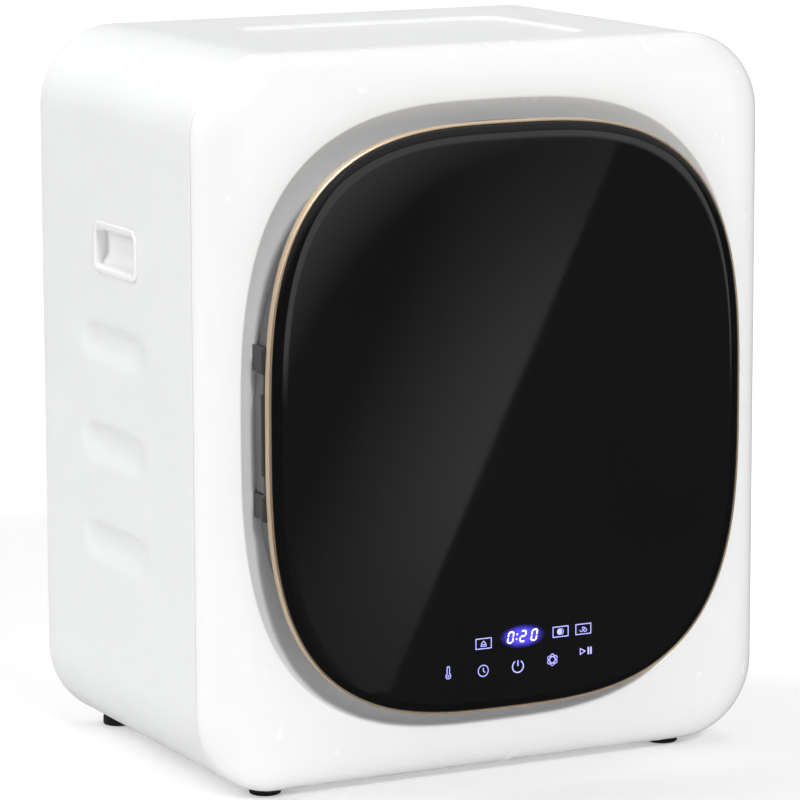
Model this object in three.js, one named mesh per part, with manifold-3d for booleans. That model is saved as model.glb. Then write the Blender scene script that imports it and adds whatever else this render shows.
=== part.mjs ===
// Compact front-loading clothes dryer with a touch-glass door, as an assembly of separate pieces.
// Millimetres, +Z up. The front looks along -Y and the door is hinged at its left edge, at -X.
// The origin lies on the floor, midway between the sides and midway between front and back.

import * as THREE from 'three';
import { mergeVertices } from 'three/addons/utils/BufferGeometryUtils.js';
import Module from 'manifold-3d';

const wasm = await Module();
wasm.setup();

// Driving dimensions
const BODY_WIDTH = 490;
const BODY_HEIGHT = 570;
const BODY_DEPTH = 328;
const FOOT_HEIGHT = 7;
const STAND_OFF = 27; // the glass stands this far before the body, the exhaust collar this far behind it
const CORNER_RADIUS = 64;
const SHEET = 1.5; // painted steel sheet
const MOULDING = 2.5; // plastic wall
const GAP = 0.3; // clearance between pieces that touch
const GLASS_HALF_WIDTH = 203.4;
const GLASS_HALF_HEIGHT = 227.6;
const DRUM_RADIUS = 205;

// Planes and centres of the cabinet
const SIDE = BODY_WIDTH / 2;
const FRONT = -BODY_DEPTH / 2;
const REAR = BODY_DEPTH / 2;
const UNDERSIDE = FOOT_HEIGHT;
const FLOOR = UNDERSIDE + SHEET + GAP; // where a piece standing inside the wrap begins
const TOP = UNDERSIDE + BODY_HEIGHT;
const AXIS_Z = UNDERSIDE + BODY_HEIGHT / 2; // height of the drum axis and the door centre
const SEAM = FRONT + 27.3; // joint between front panel and wrap
const REAR_PANEL_FRONT = REAR - 1.2;
const WRAP_REAR = REAR_PANEL_FRONT - GAP;
const FAR = 1000; // beyond the object, for cutting tools
const ROUND = 30; // sides of the big circles about the drum axis

// Door and recess
const DOOR_POWER = 3.08; // squareness of the door outline, 2 is an ellipse
const TRIM_WIDTH = 2;
const GLASS_FRONT = FRONT - STAND_OFF;
const GLASS_BACK = GLASS_FRONT + 5;
const GLASS_RIM = [3.5, 12]; // depth and width of the rounded glass rim
const TRIM_FRONT = GLASS_FRONT + 2.8;
const TRIM_BACK = TRIM_FRONT + 8;
const SHELL_FRONT = GLASS_BACK + GAP;
const SHELL_BACK = FRONT + 12;
const RECESS_HALF_WIDTH = GLASS_HALF_WIDTH + 14.6;
const RECESS_HALF_HEIGHT = GLASS_HALF_HEIGHT + 17.4;
const RECESS_POWER = 3;
const RECESS_FLOOR = FRONT + 16;
const RECESS_TILT = Math.PI / 4; // at its rim, easing to nothing at its floor
const RECESS_ROUND = (RECESS_FLOOR - FRONT) / (1 - Math.cos(RECESS_TILT));
const MOUTH_RADIUS = 150;
const WINDOW_HOLE = 147;
const SWITCH = { x: 184, z: AXIS_Z + 50, radius: 3 };
const STRIKE = { x: 175.6, halfWidth: 6.5, halfHeight: 14 };

// The hinge stands in front of the face, so that the proud edge of the door swings clear of it
const HINGE = { x: -GLASS_HALF_WIDTH, y: FRONT - 12, knuckle: 3, pin: 1.5, bottom: 227, top: 360 };
const HINGE_LEAF_HEIGHT = 62;
const HINGE_LUG_HEIGHT = 20;
const HINGE_PLATE = { x0: -187, x1: -171, thickness: 2.2 };
const HINGE_WEB = [0.4, 2.8]; // its two sides, measured from the hinge axis
const LEAF_REACH = 4.7; // how far the leaf reaches into the door shell
const LUG_GAP = 0.8;

// Drum and its supports, as distances along Y
const DRUM_FRONT = -110;
const DRUM_BACK = 92;
const FRONT_BULKHEAD = -122;
const REAR_BULKHEAD = 103;
const LIP_RADIUS = 157;
const SHAFT_RADIUS = 8;
const SHAFT_END = 156;

// Air path behind the rear bulkhead
const SCROLL = { front: 105, back: 140, radius: 118, wall: 2 };
const OUTLET = { x: -100, z: AXIS_Z - 121, radius: 50 };
const DUCT = { halfWidth: 82, halfHeight: 31, z: AXIS_Z + 161, wall: 2 };

// Drive in the lower right corner
const MOTOR = { x: 170, z: 65, radius: 40, shaft: 4, front: -38, back: 54 };
const DRUM_BELT = { front: -71, back: -61, thickness: 2.5, drumRadius: DRUM_RADIUS + 2, pulleyRadius: 7 + GAP };
const FAN_BELT = { front: 145, back: 149, thickness: 2.5, fanRadius: 20 + GAP, pulleyRadius: 32 + GAP };
const IDLER = { radius: 12, axle: 3, pivotX: 134, pivotZ: 28, pivotRadius: 4, along: 0.55 };

const SPRING_ANCHOR = { x: 132, z: 86 };
const ARM = { front: -50, thickness: 3, springPlace: 0.45 };

// Side, top and back features
const HANDLE = { y: 5.5, z: 413.5, halfLength: 41.5, halfHeight: 20.5, rim: 6, proud: 1.5, depth: 14 };
const HANDLE_SILL = 8.8; // height of the sloping sill inside the pocket
const DENT = { y: 9, lowest: 173, pitch: 80, count: 3, length: 113, height: 38, depth: 5 };
const TRAY = { y: -15, halfWidth: 122, halfLength: 85, corner: 25, depth: 2.5 };
const GLAND = { x: -185, z: 60, neck: 8.5 };
const REAR_RIM = [10, 14]; // depth and width of the wrap's rounded rear edge

function toSolid(geometry) {
  geometry.deleteAttribute('normal');
  geometry.deleteAttribute('uv');
  const merged = mergeVertices(geometry, 1e-4);
  const corners = [];
  for (let i = 0; i < merged.index.count; i += 3) {
    const [a, b, c] = merged.index.array.slice(i, i + 3);
    if (a !== b && b !== c && c !== a) corners.push(a, b, c);
  }
  const vertProperties = new Float32Array(merged.attributes.position.array);
  const triVerts = new Uint32Array(corners);
  return new wasm.Manifold(new wasm.Mesh({ numProp: 3, vertProperties, triVerts }));
}

function joined(solids) {
  return solids.reduce((whole, next) => whole.add(next));
}

function box(x0, x1, y0, y1, z0, z1) {
  const geometry = new THREE.BoxGeometry(x1 - x0, y1 - y0, z1 - z0);
  geometry.translate((x0 + x1) / 2, (y0 + y1) / 2, (z0 + z1) / 2);
  return toSolid(geometry);
}

// A profile of [radius, y] points turned about the line along Y through (x, z).
function turned(profile, x = 0, z = AXIS_Z, segments = 24) {
  const points = profile.map(([radius, y]) => new THREE.Vector2(radius, y));
  const geometry = new THREE.LatheGeometry(points, segments);
  geometry.translate(x, 0, z);
  return toSolid(geometry);
}

function disc(radius, y0, y1, x, z, segments) {
  return turned([[0, y0], [radius, y0], [radius, y1], [0, y1]], x, z, segments);
}

function ring(inner, outer, y0, y1, x, z, segments) {
  return turned([[inner, y0], [outer, y0], [outer, y1], [inner, y1], [inner, y0]], x, z, segments);
}

// A profile of [radius, z] points turned about the upright line through (x, y).
function upright(profile, x, y, segments = 16) {
  const points = profile.map(([radius, z]) => new THREE.Vector2(radius, z));
  const geometry = new THREE.LatheGeometry(points, segments);
  geometry.rotateX(Math.PI / 2);
  geometry.translate(x, y, 0);
  return toSolid(geometry);
}

// A shape drawn in (x, z) as seen from the front, made solid from y0 back to y1.
function slab(shape, y0, y1, options = {}) {
  const settings = { depth: y1 - y0, bevelEnabled: false, curveSegments: 3, ...options };
  const geometry = new THREE.ExtrudeGeometry(shape, settings);
  geometry.rotateX(Math.PI / 2);
  geometry.translate(0, y1, 0);
  return toSolid(geometry);
}

function rounding([depth, inset], segments) {
  const size = { bevelThickness: depth, bevelSize: inset, bevelOffset: -inset };
  return { bevelEnabled: true, bevelSegments: segments, ...size };
}

// The same with its front edge rounded, by a quarter ellipse of [depth, inset].
function softFront(shape, y0, y1, edge, segments = 4) {
  const whole = slab(shape, y0 + edge[0], y1 + edge[0], rounding(edge, segments));
  return whole.subtract(box(-FAR, FAR, y1, FAR, -FAR, FAR));
}

function softRear(shape, y0, y1, edge, segments = 4) {
  const whole = slab(shape, y0 - edge[0], y1 - edge[0], rounding(edge, segments));
  return whole.subtract(box(-FAR, FAR, -FAR, y0, -FAR, FAR));
}

function roundedRectangle(halfWidth, halfHeight, radius, x = 0, z = AXIS_Z) {
  const shape = new THREE.Shape();
  const across = halfWidth - radius;
  const up = halfHeight - radius;
  shape.absarc(x + across, z + up, radius, 0, Math.PI / 2);
  shape.absarc(x - across, z + up, radius, Math.PI / 2, Math.PI);
  shape.absarc(x - across, z - up, radius, Math.PI, Math.PI * 1.5);
  shape.absarc(x + across, z - up, radius, Math.PI * 1.5, Math.PI * 2);
  return shape;
}

function bodyOutline(inset) {
  return roundedRectangle(SIDE - inset, BODY_HEIGHT / 2 - inset, CORNER_RADIUS - inset);
}

// |x / a|^power + |z / b|^power = 1, centred on the door.
function squareOval(halfWidth, halfHeight, power, count = 40) {
  const points = [];
  for (let i = 0; i < count; i += 1) {
    const angle = (2 * Math.PI * i) / count;
    const c = Math.cos(angle);
    const s = Math.sin(angle);
    const x = halfWidth * Math.sign(c) * Math.abs(c) ** (2 / power);
    const z = halfHeight * Math.sign(s) * Math.abs(s) ** (2 / power);
    points.push(new THREE.Vector2(x, AXIS_Z + z));
  }
  return new THREE.Shape(points);
}

function doorOutline(outset) {
  return squareOval(GLASS_HALF_WIDTH + outset, GLASS_HALF_HEIGHT + outset, DOOR_POWER);
}

function recessOutline(outset) {
  return squareOval(RECESS_HALF_WIDTH + outset, RECESS_HALF_HEIGHT + outset, RECESS_POWER);
}

// Direction of a straight belt run from a big wheel to a small one, as the angle of its outward side.
function runAngles(big, small) {
  const across = small.x - big.x;
  const up = small.z - big.z;
  const heading = Math.atan2(up, across);
  const spread = Math.acos((big.radius - small.radius) / Math.hypot(across, up));
  return [heading - spread, heading + spread];
}

// The loop of straight runs round two wheels.
function loopShape(big, small) {
  const [low, high] = runAngles(big, small);
  const shape = new THREE.Shape();
  shape.absarc(big.x, big.z, big.radius, high, low + 2 * Math.PI);
  shape.absarc(small.x, small.z, small.radius, low, high);
  return shape;
}

function belt(big, small, thickness, y0, y1, curveSegments) {
  const fatter = (wheel) => ({ ...wheel, radius: wheel.radius + thickness });
  const outer = slab(loopShape(fatter(big), fatter(small)), y0, y1, { curveSegments });
  const inner = slab(loopShape(big, small), y0 - 1, y1 + 1, { curveSegments });
  return outer.subtract(inner);
}

// ---- Cabinet ----

function dents(grow) {
  const tools = [];
  for (const side of [-1, 1]) {
    for (let i = 0; i < DENT.count; i += 1) {
      const radius = DENT.height / 2 + grow;
      const geometry = new THREE.CapsuleGeometry(radius, DENT.length - DENT.height, 2, 8);
      geometry.scale((DENT.depth + grow) / radius, 1, 1);
      geometry.translate(side * SIDE, DENT.y, DENT.lowest + i * DENT.pitch);
      tools.push(toSolid(geometry));
    }
  }
  return joined(tools);
}

function topTray(grow) {
  const { halfWidth, halfLength, corner, y } = TRAY;
  const shape = roundedRectangle(halfWidth + grow, halfLength + grow, corner + grow, 0, y);
  const depth = TRAY.depth + grow;
  const geometry = new THREE.ExtrudeGeometry(shape, { depth: FAR, bevelEnabled: false, curveSegments: 4 });
  geometry.translate(0, 0, TOP - depth);
  return toSolid(geometry);
}

function screwPlaces() {
  const places = [];
  for (const x of [-1, 1]) {
    for (const z of [-1, 1]) places.push({ x: x * (SIDE - 20), z: AXIS_Z + z * 190 });
  }
  return places;
}

function screwHoles() {
  return joined(screwPlaces().map(({ x, z }) => disc(2.6, WRAP_REAR - 5, REAR + 5, x, z, 12)));
}

function cabinetWrap() {
  const outer = softRear(bodyOutline(0), SEAM + GAP, WRAP_REAR, REAR_RIM, 3);
  const inner = softRear(bodyOutline(SHEET), SEAM - 1, WRAP_REAR - SHEET, REAR_RIM, 3);
  const rearOpening = slab(bodyOutline(REAR_RIM[1] + 12), REAR - 20, REAR);
  const across = roundedRectangle(FAR, HANDLE.halfHeight - 3, 1, 0, HANDLE.z);
  const handles = slab(across, HANDLE.y - HANDLE.halfLength + 4, HANDLE.y + HANDLE.halfLength - 4);
  const skin = outer.subtract(dents(0)).subtract(topTray(0));
  const hollow = inner.subtract(dents(SHEET)).subtract(topTray(SHEET));
  const holes = joined([rearOpening, screwHoles(), handles]);
  return skin.subtract(hollow).subtract(holes);
}

// The dished recess round the door, with a square pocket in it for the hinge.
function recessHollow(outset, front, floor) {
  const outline = recessOutline(outset + RECESS_ROUND * (1 - Math.sin(RECESS_TILT)));
  const dish = softRear(outline, front, floor, [RECESS_ROUND, RECESS_ROUND], 9);
  const room = outset + 1;
  const pocket = box(HINGE.x - room, HINGE_PLATE.x1 + room, front, floor, HINGE.bottom - room, HINGE.top + room);
  return dish.add(pocket);
}

function frontPanel() {
  const edge = [SEAM - FRONT, 36];
  const outer = softFront(bodyOutline(0), FRONT, SEAM, edge);
  const inner = softFront(bodyOutline(MOULDING), FRONT + MOULDING, SEAM + 1, edge, 3);
  const pan = recessHollow(MOULDING, FRONT + 1, RECESS_FLOOR + MOULDING);
  const recess = recessHollow(0, FRONT - 5, RECESS_FLOOR);
  const mouth = disc(MOUTH_RADIUS, FRONT, SEAM + 5, 0, AXIS_Z, ROUND);
  const plungerHole = disc(SWITCH.radius + 0.4, FRONT, SEAM + 5, SWITCH.x, SWITCH.z, 12);
  return outer.subtract(inner.subtract(pan)).subtract(recess).subtract(mouth).subtract(plungerHole);
}

function rearPanel() {
  const sheet = slab(bodyOutline(15), REAR_PANEL_FRONT, REAR);
  const exhaust = disc(OUTLET.radius + 2.5, REAR - 5, REAR + 5, OUTLET.x, OUTLET.z, 28);
  const intake = box(-DUCT.halfWidth, DUCT.halfWidth, REAR - 5, REAR + 5,
    DUCT.z - DUCT.halfHeight, DUCT.z + DUCT.halfHeight);
  const cord = disc(GLAND.neck + 0.5, REAR - 5, REAR + 5, GLAND.x, GLAND.z, 16);
  return sheet.subtract(joined([exhaust, intake, cord, screwHoles()]));
}

function cordGland() {
  const flange = REAR + GAP;
  const profile = [[4, REAR - 6], [GLAND.neck, REAR - 6], [GLAND.neck, flange], [12, flange], [12, REAR + 4],
    [9, REAR + 8], [4, REAR + 8], [4, REAR - 6]];
  return turned(profile, GLAND.x, GLAND.z, 16);
}

function rearScrew() {
  return turned([[0, -12], [2.2, -12], [2.2, GAP], [4.5, GAP], [4.2, 2], [2, 2.6], [0, 2.6]], 0, 0, 12);
}

// Built for the right-hand side with its rim on the plane x = 0; the pocket reaches up behind the wrap.
function handleCup() {
  const across = (halfLength, halfHeight, radius, x0, x1) => {
    const shape = roundedRectangle(halfLength, halfHeight, radius, 0, 0);
    const geometry = new THREE.ExtrudeGeometry(shape, { depth: x1 - x0, bevelEnabled: false, curveSegments: 2 });
    geometry.rotateX(Math.PI / 2);
    geometry.rotateZ(Math.PI / 2);
    geometry.translate(x0, 0, 0);
    return toSolid(geometry);
  };
  const { halfLength, halfHeight, rim, proud, depth } = HANDLE;
  const frame = across(halfLength, halfHeight, 7, GAP, proud + GAP);
  const pocket = across(halfLength - rim + 1.2, halfHeight - 4, 4, -depth, proud);
  const hollow = across(halfLength - rim - 0.4, halfHeight - rim, 3, -depth + MOULDING, proud + 1);
  const sillTop = rim - halfHeight + HANDLE_SILL;
  const slope = new THREE.Shape([[-depth, -FAR], [-5, -FAR], [-5, rim - halfHeight - 0.1], [-depth, sillTop]]
    .map(([x, z]) => new THREE.Vector2(x, z)));
  const floor = slab(slope, -halfLength, halfLength);
  return frame.add(pocket).subtract(hollow.subtract(floor));
}

function foot() {
  return upright([[0, 0], [11.5, 0], [12.5, 1], [12.5, FOOT_HEIGHT - GAP], [0, FOOT_HEIGHT - GAP]], 0, 0, 20);
}

function frontBulkhead() {
  const plate = slab(bodyOutline(SHEET + GAP), FRONT_BULKHEAD, FRONT_BULKHEAD + SHEET);
  const collar = disc(MOUTH_RADIUS + 2, FRONT_BULKHEAD - 22, FRONT_BULKHEAD + 13, 0, AXIS_Z, ROUND);
  const bore = disc(MOUTH_RADIUS, -FAR, FAR, 0, AXIS_Z, ROUND);
  return plate.add(collar).subtract(bore);
}

function frontFeltSeal() {
  const outer = LIP_RADIUS * Math.cos(Math.PI / ROUND) - GAP; // clear of the flats of the turning lip
  return ring(MOUTH_RADIUS + 2.4, outer, FRONT_BULKHEAD + 3, FRONT_BULKHEAD + 12, 0, AXIS_Z, ROUND);
}

// Holes spread round the drum axis.
function holeCircle(count, circleRadius, holeRadius, y0, y1, segments) {
  const tools = [];
  for (let i = 0; i < count; i += 1) {
    const angle = (2 * Math.PI * (i + 0.5)) / count;
    const x = circleRadius * Math.cos(angle);
    const z = AXIS_Z + circleRadius * Math.sin(angle);
    tools.push(disc(holeRadius, y0, y1, x, z, segments));
  }
  return joined(tools);
}

function rearBulkhead() {
  const plate = slab(bodyOutline(SHEET + GAP), REAR_BULKHEAD, REAR_BULKHEAD + SHEET);
  const boss = disc(22, REAR_BULKHEAD - 5, REAR_BULKHEAD + 7, 0, AXIS_Z, 24);
  const seat = disc(16.3, REAR_BULKHEAD - 6, REAR_BULKHEAD + 8, 0, AXIS_Z, 24);
  const suction = holeCircle(6, 43, 15, REAR_BULKHEAD - 2, REAR_BULKHEAD + 5, 6);
  const shaftHole = disc(9, REAR_BULKHEAD - 2, REAR_BULKHEAD + 5, MOTOR.x, MOTOR.z, 16);
  const slots = [];
  for (let i = -3; i <= 3; i += 1) {
    const x = i * 20;
    const reach = DUCT.halfHeight - 7;
    slots.push(box(x - 6, x + 6, REAR_BULKHEAD - 2, REAR_BULKHEAD + 5, DUCT.z - reach, DUCT.z + reach));
  }
  return plate.add(boss).subtract(joined([seat, suction, shaftHole, ...slots]));
}

function drumBearing() {
  return ring(SHAFT_RADIUS + GAP, 16, REAR_BULKHEAD - 5, REAR_BULKHEAD + 7, 0, AXIS_Z, 24);
}

// ---- Door furniture on the cabinet ----

function circleAt(x, y, radius) {
  const shape = new THREE.Shape();
  shape.absarc(x, y, radius, 0, 2 * Math.PI);
  return shape;
}

function column(shape, z0, z1) {
  const geometry = new THREE.ExtrudeGeometry(shape, { depth: z1 - z0, bevelEnabled: false, curveSegments: 8 });
  geometry.translate(0, 0, z0);
  return toSolid(geometry);
}

// The web runs back from the knuckle through a slot in the door shell, then along the recess floor.
function hingeLug(z0) {
  const z1 = z0 + HINGE_LUG_HEIGHT;
  const [left, right] = HINGE_WEB;
  const foot = RECESS_FLOOR - GAP - HINGE.y;
  const end = HINGE_PLATE.x0 + 7 - HINGE.x;
  const behind = [[left, 0], [left, foot - 3.4], [4, foot - 1.6], [11.5, foot - 0.9], [end, foot - 0.9]];
  const before = [[end, foot - 3.1], [right, foot - 3.1], [right, 0]];
  const outline = [...behind, ...before].map(([x, y]) => new THREE.Vector2(HINGE.x + x, HINGE.y + y));
  const knuckle = column(circleAt(HINGE.x, HINGE.y, HINGE.knuckle), z0, z1);
  return knuckle.add(column(new THREE.Shape(outline), z0, z1));
}

function hingeBore() {
  return column(circleAt(HINGE.x, HINGE.y, HINGE.pin + GAP), HINGE.bottom - 1, HINGE.top + 1);
}

function hingeBracket() {
  const { x0, x1, thickness } = HINGE_PLATE;
  const plateBack = RECESS_FLOOR - GAP;
  const plate = box(x0, x1, plateBack - thickness, plateBack, HINGE.bottom, HINGE.top);
  const lugs = hingeLug(HINGE.bottom).add(hingeLug(HINGE.top - HINGE_LUG_HEIGHT));
  return plate.add(lugs).subtract(hingeBore());
}

function hingePin() {
  return upright([[0, HINGE.bottom], [HINGE.pin, HINGE.bottom], [HINGE.pin, HINGE.top], [0, HINGE.top]],
    HINGE.x, HINGE.y, 16);
}

function leafSpan() {
  const middle = (HINGE.bottom + HINGE.top) / 2;
  return [middle - HINGE_LEAF_HEIGHT / 2, middle + HINGE_LEAF_HEIGHT / 2];
}

function hingeLeaf() {
  const [z0, z1] = leafSpan();
  const { x, y, knuckle } = HINGE;
  const barrel = column(circleAt(x, y, knuckle), z0, z1);
  return barrel.add(box(x, x + LEAF_REACH, y - knuckle, y + knuckle, z0, z1)).subtract(hingeBore());
}

// Room in the edge of the door shell for the pin, the leaf, and the lugs, which leave it at the back.
function hingeSlots() {
  const { x, y, knuckle, bottom, top } = HINGE;
  const slot = (reach, gap, y1, z0, z1) => box(x - 5, x + reach, y - knuckle - gap, y1, z0 - gap, z1 + gap);
  const lugReach = knuckle + LUG_GAP;
  const behind = SHELL_BACK + 1;
  return joined([
    slot(lugReach, LUG_GAP, behind, bottom, bottom + HINGE_LUG_HEIGHT),
    slot(lugReach, LUG_GAP, behind, top - HINGE_LUG_HEIGHT, top),
    slot(LEAF_REACH + GAP, GAP, y + knuckle + GAP, ...leafSpan()),
    hingeBore(),
  ]);
}

function strikePlate() {
  const back = RECESS_FLOOR - GAP;
  const { x, halfWidth, halfHeight } = STRIKE;
  return box(x - halfWidth, x + halfWidth, back - 2.2, back, AXIS_Z - halfHeight, AXIS_Z + halfHeight);
}

function doorSwitch() {
  const front = RECESS_FLOOR + MOULDING + GAP;
  const body = box(SWITCH.x - 8, SWITCH.x + 8, front, FRONT_BULKHEAD - 2, SWITCH.z - 12, SWITCH.z + 12);
  return body.subtract(disc(SWITCH.radius + 0.4, FRONT, front + 14, SWITCH.x, SWITCH.z, 12));
}

function doorSwitchPlunger() {
  return disc(SWITCH.radius, SHELL_BACK + 0.4, RECESS_FLOOR + 13, SWITCH.x, SWITCH.z, 12);
}

// ---- Door ----

function doorGlass() {
  return softFront(doorOutline(0), GLASS_FRONT, GLASS_BACK, GLASS_RIM, 3);
}

function doorTrim() {
  const outer = slab(doorOutline(TRIM_WIDTH), TRIM_FRONT, TRIM_BACK);
  return outer.subtract(slab(doorOutline(GAP), TRIM_FRONT - 1, TRIM_BACK + 1));
}

function doorShell() {
  const outer = softRear(doorOutline(0), SHELL_FRONT, SHELL_BACK, [8, 7], 3);
  const hollow = slab(doorOutline(-8), SHELL_FRONT - 1, SHELL_BACK - 3);
  const window = disc(WINDOW_HOLE, FRONT - 10, FRONT + 20, 0, AXIS_Z, ROUND);
  return outer.subtract(hollow).subtract(window).subtract(hingeSlots());
}

function doorWindow() {
  const flange = SHELL_BACK - 3 - GAP;
  const room = [[0, -121], [118, -125], [139, -137], [143, flange - MOULDING], [156, flange - MOULDING]];
  const drumSide = [[156, flange], [WINDOW_HOLE - 0.5, flange], [142, -135], [120, -122], [0, -118]];
  return turned([...room, ...drumSide], 0, AXIS_Z, ROUND);
}

function doorGasket() {
  return ring(157, 168, SHELL_BACK + GAP, RECESS_FLOOR - 0.4, 0, AXIS_Z, ROUND);
}

function touchBoard() {
  const board = box(-75, 88, GLASS_BACK + 2.4, GLASS_BACK + 4, 86, 128);
  const display = box(-5, 28, GLASS_BACK + 0.4, GLASS_BACK + 2.6, 110, 125);
  const pads = [];
  for (let i = -2; i <= 2; i += 1) {
    const x = 7.5 + i * 30.7;
    pads.push(box(x - 6, x + 6, GLASS_BACK + 0.4, GLASS_BACK + 2.6, 89, 101));
  }
  return joined([board, display, ...pads]);
}

function doorMagnet() {
  const back = SHELL_BACK - 3 - GAP;
  const { x, halfWidth, halfHeight } = STRIKE;
  return box(x - halfWidth + 2, x + halfWidth - 2, back - 8, back, AXIS_Z - halfHeight + 2, AXIS_Z + halfHeight - 2);
}

// ---- Drum ----

function drumShell() {
  return ring(DRUM_RADIUS - SHEET, DRUM_RADIUS, DRUM_FRONT, DRUM_BACK - GAP, 0, AXIS_Z, ROUND);
}

function drumFrontRing() {
  const face = DRUM_FRONT - GAP;
  const profile = [[LIP_RADIUS, face - 8], [LIP_RADIUS + SHEET, face - 8], [LIP_RADIUS + SHEET, face - SHEET],
    [DRUM_RADIUS, face - SHEET], [DRUM_RADIUS, face], [LIP_RADIUS, face], [LIP_RADIUS, face - 8]];
  return turned(profile, 0, AXIS_Z, ROUND);
}

function drumBack() {
  const plate = disc(DRUM_RADIUS, DRUM_BACK, DRUM_BACK + SHEET, 0, AXIS_Z, ROUND);
  const hotAir = holeCircle(12, 162, 14, DRUM_BACK - 2, DRUM_BACK + 4, 6);
  const suction = holeCircle(6, 54, 8, DRUM_BACK - 2, DRUM_BACK + 4, 6);
  return plate.subtract(hotAir).subtract(suction);
}

// Drawn at the top of the drum about its axis, and turned into place.
function lifter() {
  const shape = new THREE.Shape();
  const root = DRUM_RADIUS - SHEET - 3;
  shape.moveTo(-22, root);
  shape.lineTo(-9, root - 28);
  shape.absarc(0, root - 28, 9, Math.PI, 2 * Math.PI);
  shape.lineTo(22, root);
  return slab(shape, -95, 75, { curveSegments: 3 });
}

function drumHub() {
  const front = DRUM_BACK + SHEET + GAP;
  return ring(SHAFT_RADIUS + GAP, 44, front, front + 3, 0, AXIS_Z, 24);
}

function drumShaft() {
  return disc(SHAFT_RADIUS, DRUM_BACK + SHEET + GAP, SHAFT_END, 0, AXIS_Z, 16);
}

function lintFilter() {
  const back = DRUM_BACK - GAP;
  const frame = ring(62, 70, back - 12, back, 0, AXIS_Z, 24);
  const screen = disc(63, back - 8, back - 6, 0, AXIS_Z, 24);
  const openings = holeCircle(6, 43, 14, back - 9, back - 5, 6);
  const grip = box(-30, 30, back - 18, back - 7, AXIS_Z - 3, AXIS_Z + 3);
  return frame.add(screen.subtract(openings)).add(grip);
}

// ---- Air path ----

function scrollOutline(grow) {
  const big = { x: 0, z: AXIS_Z, radius: SCROLL.radius + grow };
  const small = { x: OUTLET.x, z: OUTLET.z, radius: OUTLET.radius + 4 + grow };
  return loopShape(big, small);
}

function fanScroll() {
  const outer = slab(scrollOutline(0), SCROLL.front, SCROLL.back, { curveSegments: 6 });
  const hollow = slab(scrollOutline(-SCROLL.wall), SCROLL.front + SCROLL.wall, SCROLL.back - SCROLL.wall,
    { curveSegments: 6 });
  const inlet = disc(62, SCROLL.front - 1, SCROLL.front + 5, 0, AXIS_Z, 32);
  const hubHole = disc(15, SCROLL.back - 5, SCROLL.back + 1, 0, AXIS_Z, 16);
  const outlet = disc(OUTLET.radius, SCROLL.back - 5, SCROLL.back + 1, OUTLET.x, OUTLET.z, 28);
  return outer.subtract(joined([hollow, inlet, hubHole, outlet]));
}

function fanWheel() {
  const hub = ring(SHAFT_RADIUS + 0.4, 13, 112, 153, 0, AXIS_Z, 12);
  const plate = ring(SHAFT_RADIUS + 0.4, 104, 132, 134, 0, AXIS_Z, 24);
  const blades = [];
  for (let i = 0; i < 12; i += 1) {
    const geometry = new THREE.BoxGeometry(56, 20, 1.6);
    geometry.translate(74, 122.5, 0);
    geometry.rotateY((2 * Math.PI * i) / 12);
    geometry.translate(0, 0, AXIS_Z);
    blades.push(toSolid(geometry));
  }
  return joined([hub, plate, ...blades]);
}

function pulley(bore, groove, y0, y1, x, z) {
  const flange = groove + 3;
  const profile = [[bore, y0], [flange, y0], [flange, y0 + 1], [groove, y0 + 2], [groove, y1 - 2],
    [flange, y1 - 1], [flange, y1], [bore, y1], [bore, y0]];
  return turned(profile, x, z, 12);
}

function fanPulley() {
  return pulley(13.3, FAN_BELT.fanRadius - GAP, FAN_BELT.front - 3, FAN_BELT.back + 3, 0, AXIS_Z);
}

function ductSleeve(wall, y0, y1) {
  const outer = box(-DUCT.halfWidth, DUCT.halfWidth, y0, y1, DUCT.z - DUCT.halfHeight, DUCT.z + DUCT.halfHeight);
  const w = DUCT.halfWidth - wall;
  const h = DUCT.halfHeight - wall;
  return outer.subtract(box(-w, w, y0 - 1, y1 + 1, DUCT.z - h, DUCT.z + h));
}

function heaterDuct() {
  return ductSleeve(DUCT.wall, SCROLL.front, 157);
}

function heaterElement() {
  const block = box(-76, 76, 118, 136, DUCT.z - 26, DUCT.z + 26);
  const gaps = [];
  for (let i = 0; i < 12; i += 1) {
    const x = -66 + i * 12;
    gaps.push(box(x - 4, x + 4, 117, 137, DUCT.z - 20, DUCT.z + 20));
  }
  return block.subtract(joined(gaps));
}

function thermalCutout() {
  const base = DUCT.z + DUCT.halfHeight + GAP;
  return upright([[0, base], [9, base], [9, base + 6], [4, base + 7], [4, base + 11], [0, base + 11]], 40, 127, 16);
}

function intakeGrille() {
  const w = DUCT.halfWidth;
  const h = DUCT.halfHeight;
  const flange = box(-w - 7, w + 7, REAR + GAP, REAR + 2.3, DUCT.z - h - 7, DUCT.z + h + 7);
  const neck = box(-w + 0.5, w - 0.5, 158, REAR + 1, DUCT.z - h + 0.5, DUCT.z + h - 0.5);
  const hollow = box(-w + 3, w - 3, 157, REAR + 5, DUCT.z - h + 3, DUCT.z + h - 3);
  const slats = [];
  for (let i = -3; i <= 3; i += 1) {
    const geometry = new THREE.BoxGeometry(2 * w - 5, 8, 1.6);
    geometry.rotateX(-Math.PI / 5);
    geometry.translate(0, REAR - 1.5, DUCT.z + i * 8);
    slats.push(toSolid(geometry));
  }
  return flange.add(neck).subtract(hollow).add(joined(slats));
}

function exhaustCollar() {
  const start = SCROLL.back + GAP;
  const flange = REAR + GAP;
  const inner = OUTLET.radius;
  const profile = [[inner, start], [inner + 2, start], [inner + 2, flange], [inner + 14, flange],
    [inner + 14, flange + 2.2], [inner + 2, flange + 2.2], [inner + 2, REAR + STAND_OFF],
    [inner, REAR + STAND_OFF], [inner, start]];
  return turned(profile, OUTLET.x, OUTLET.z, 28);
}

// ---- Drive ----

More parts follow.
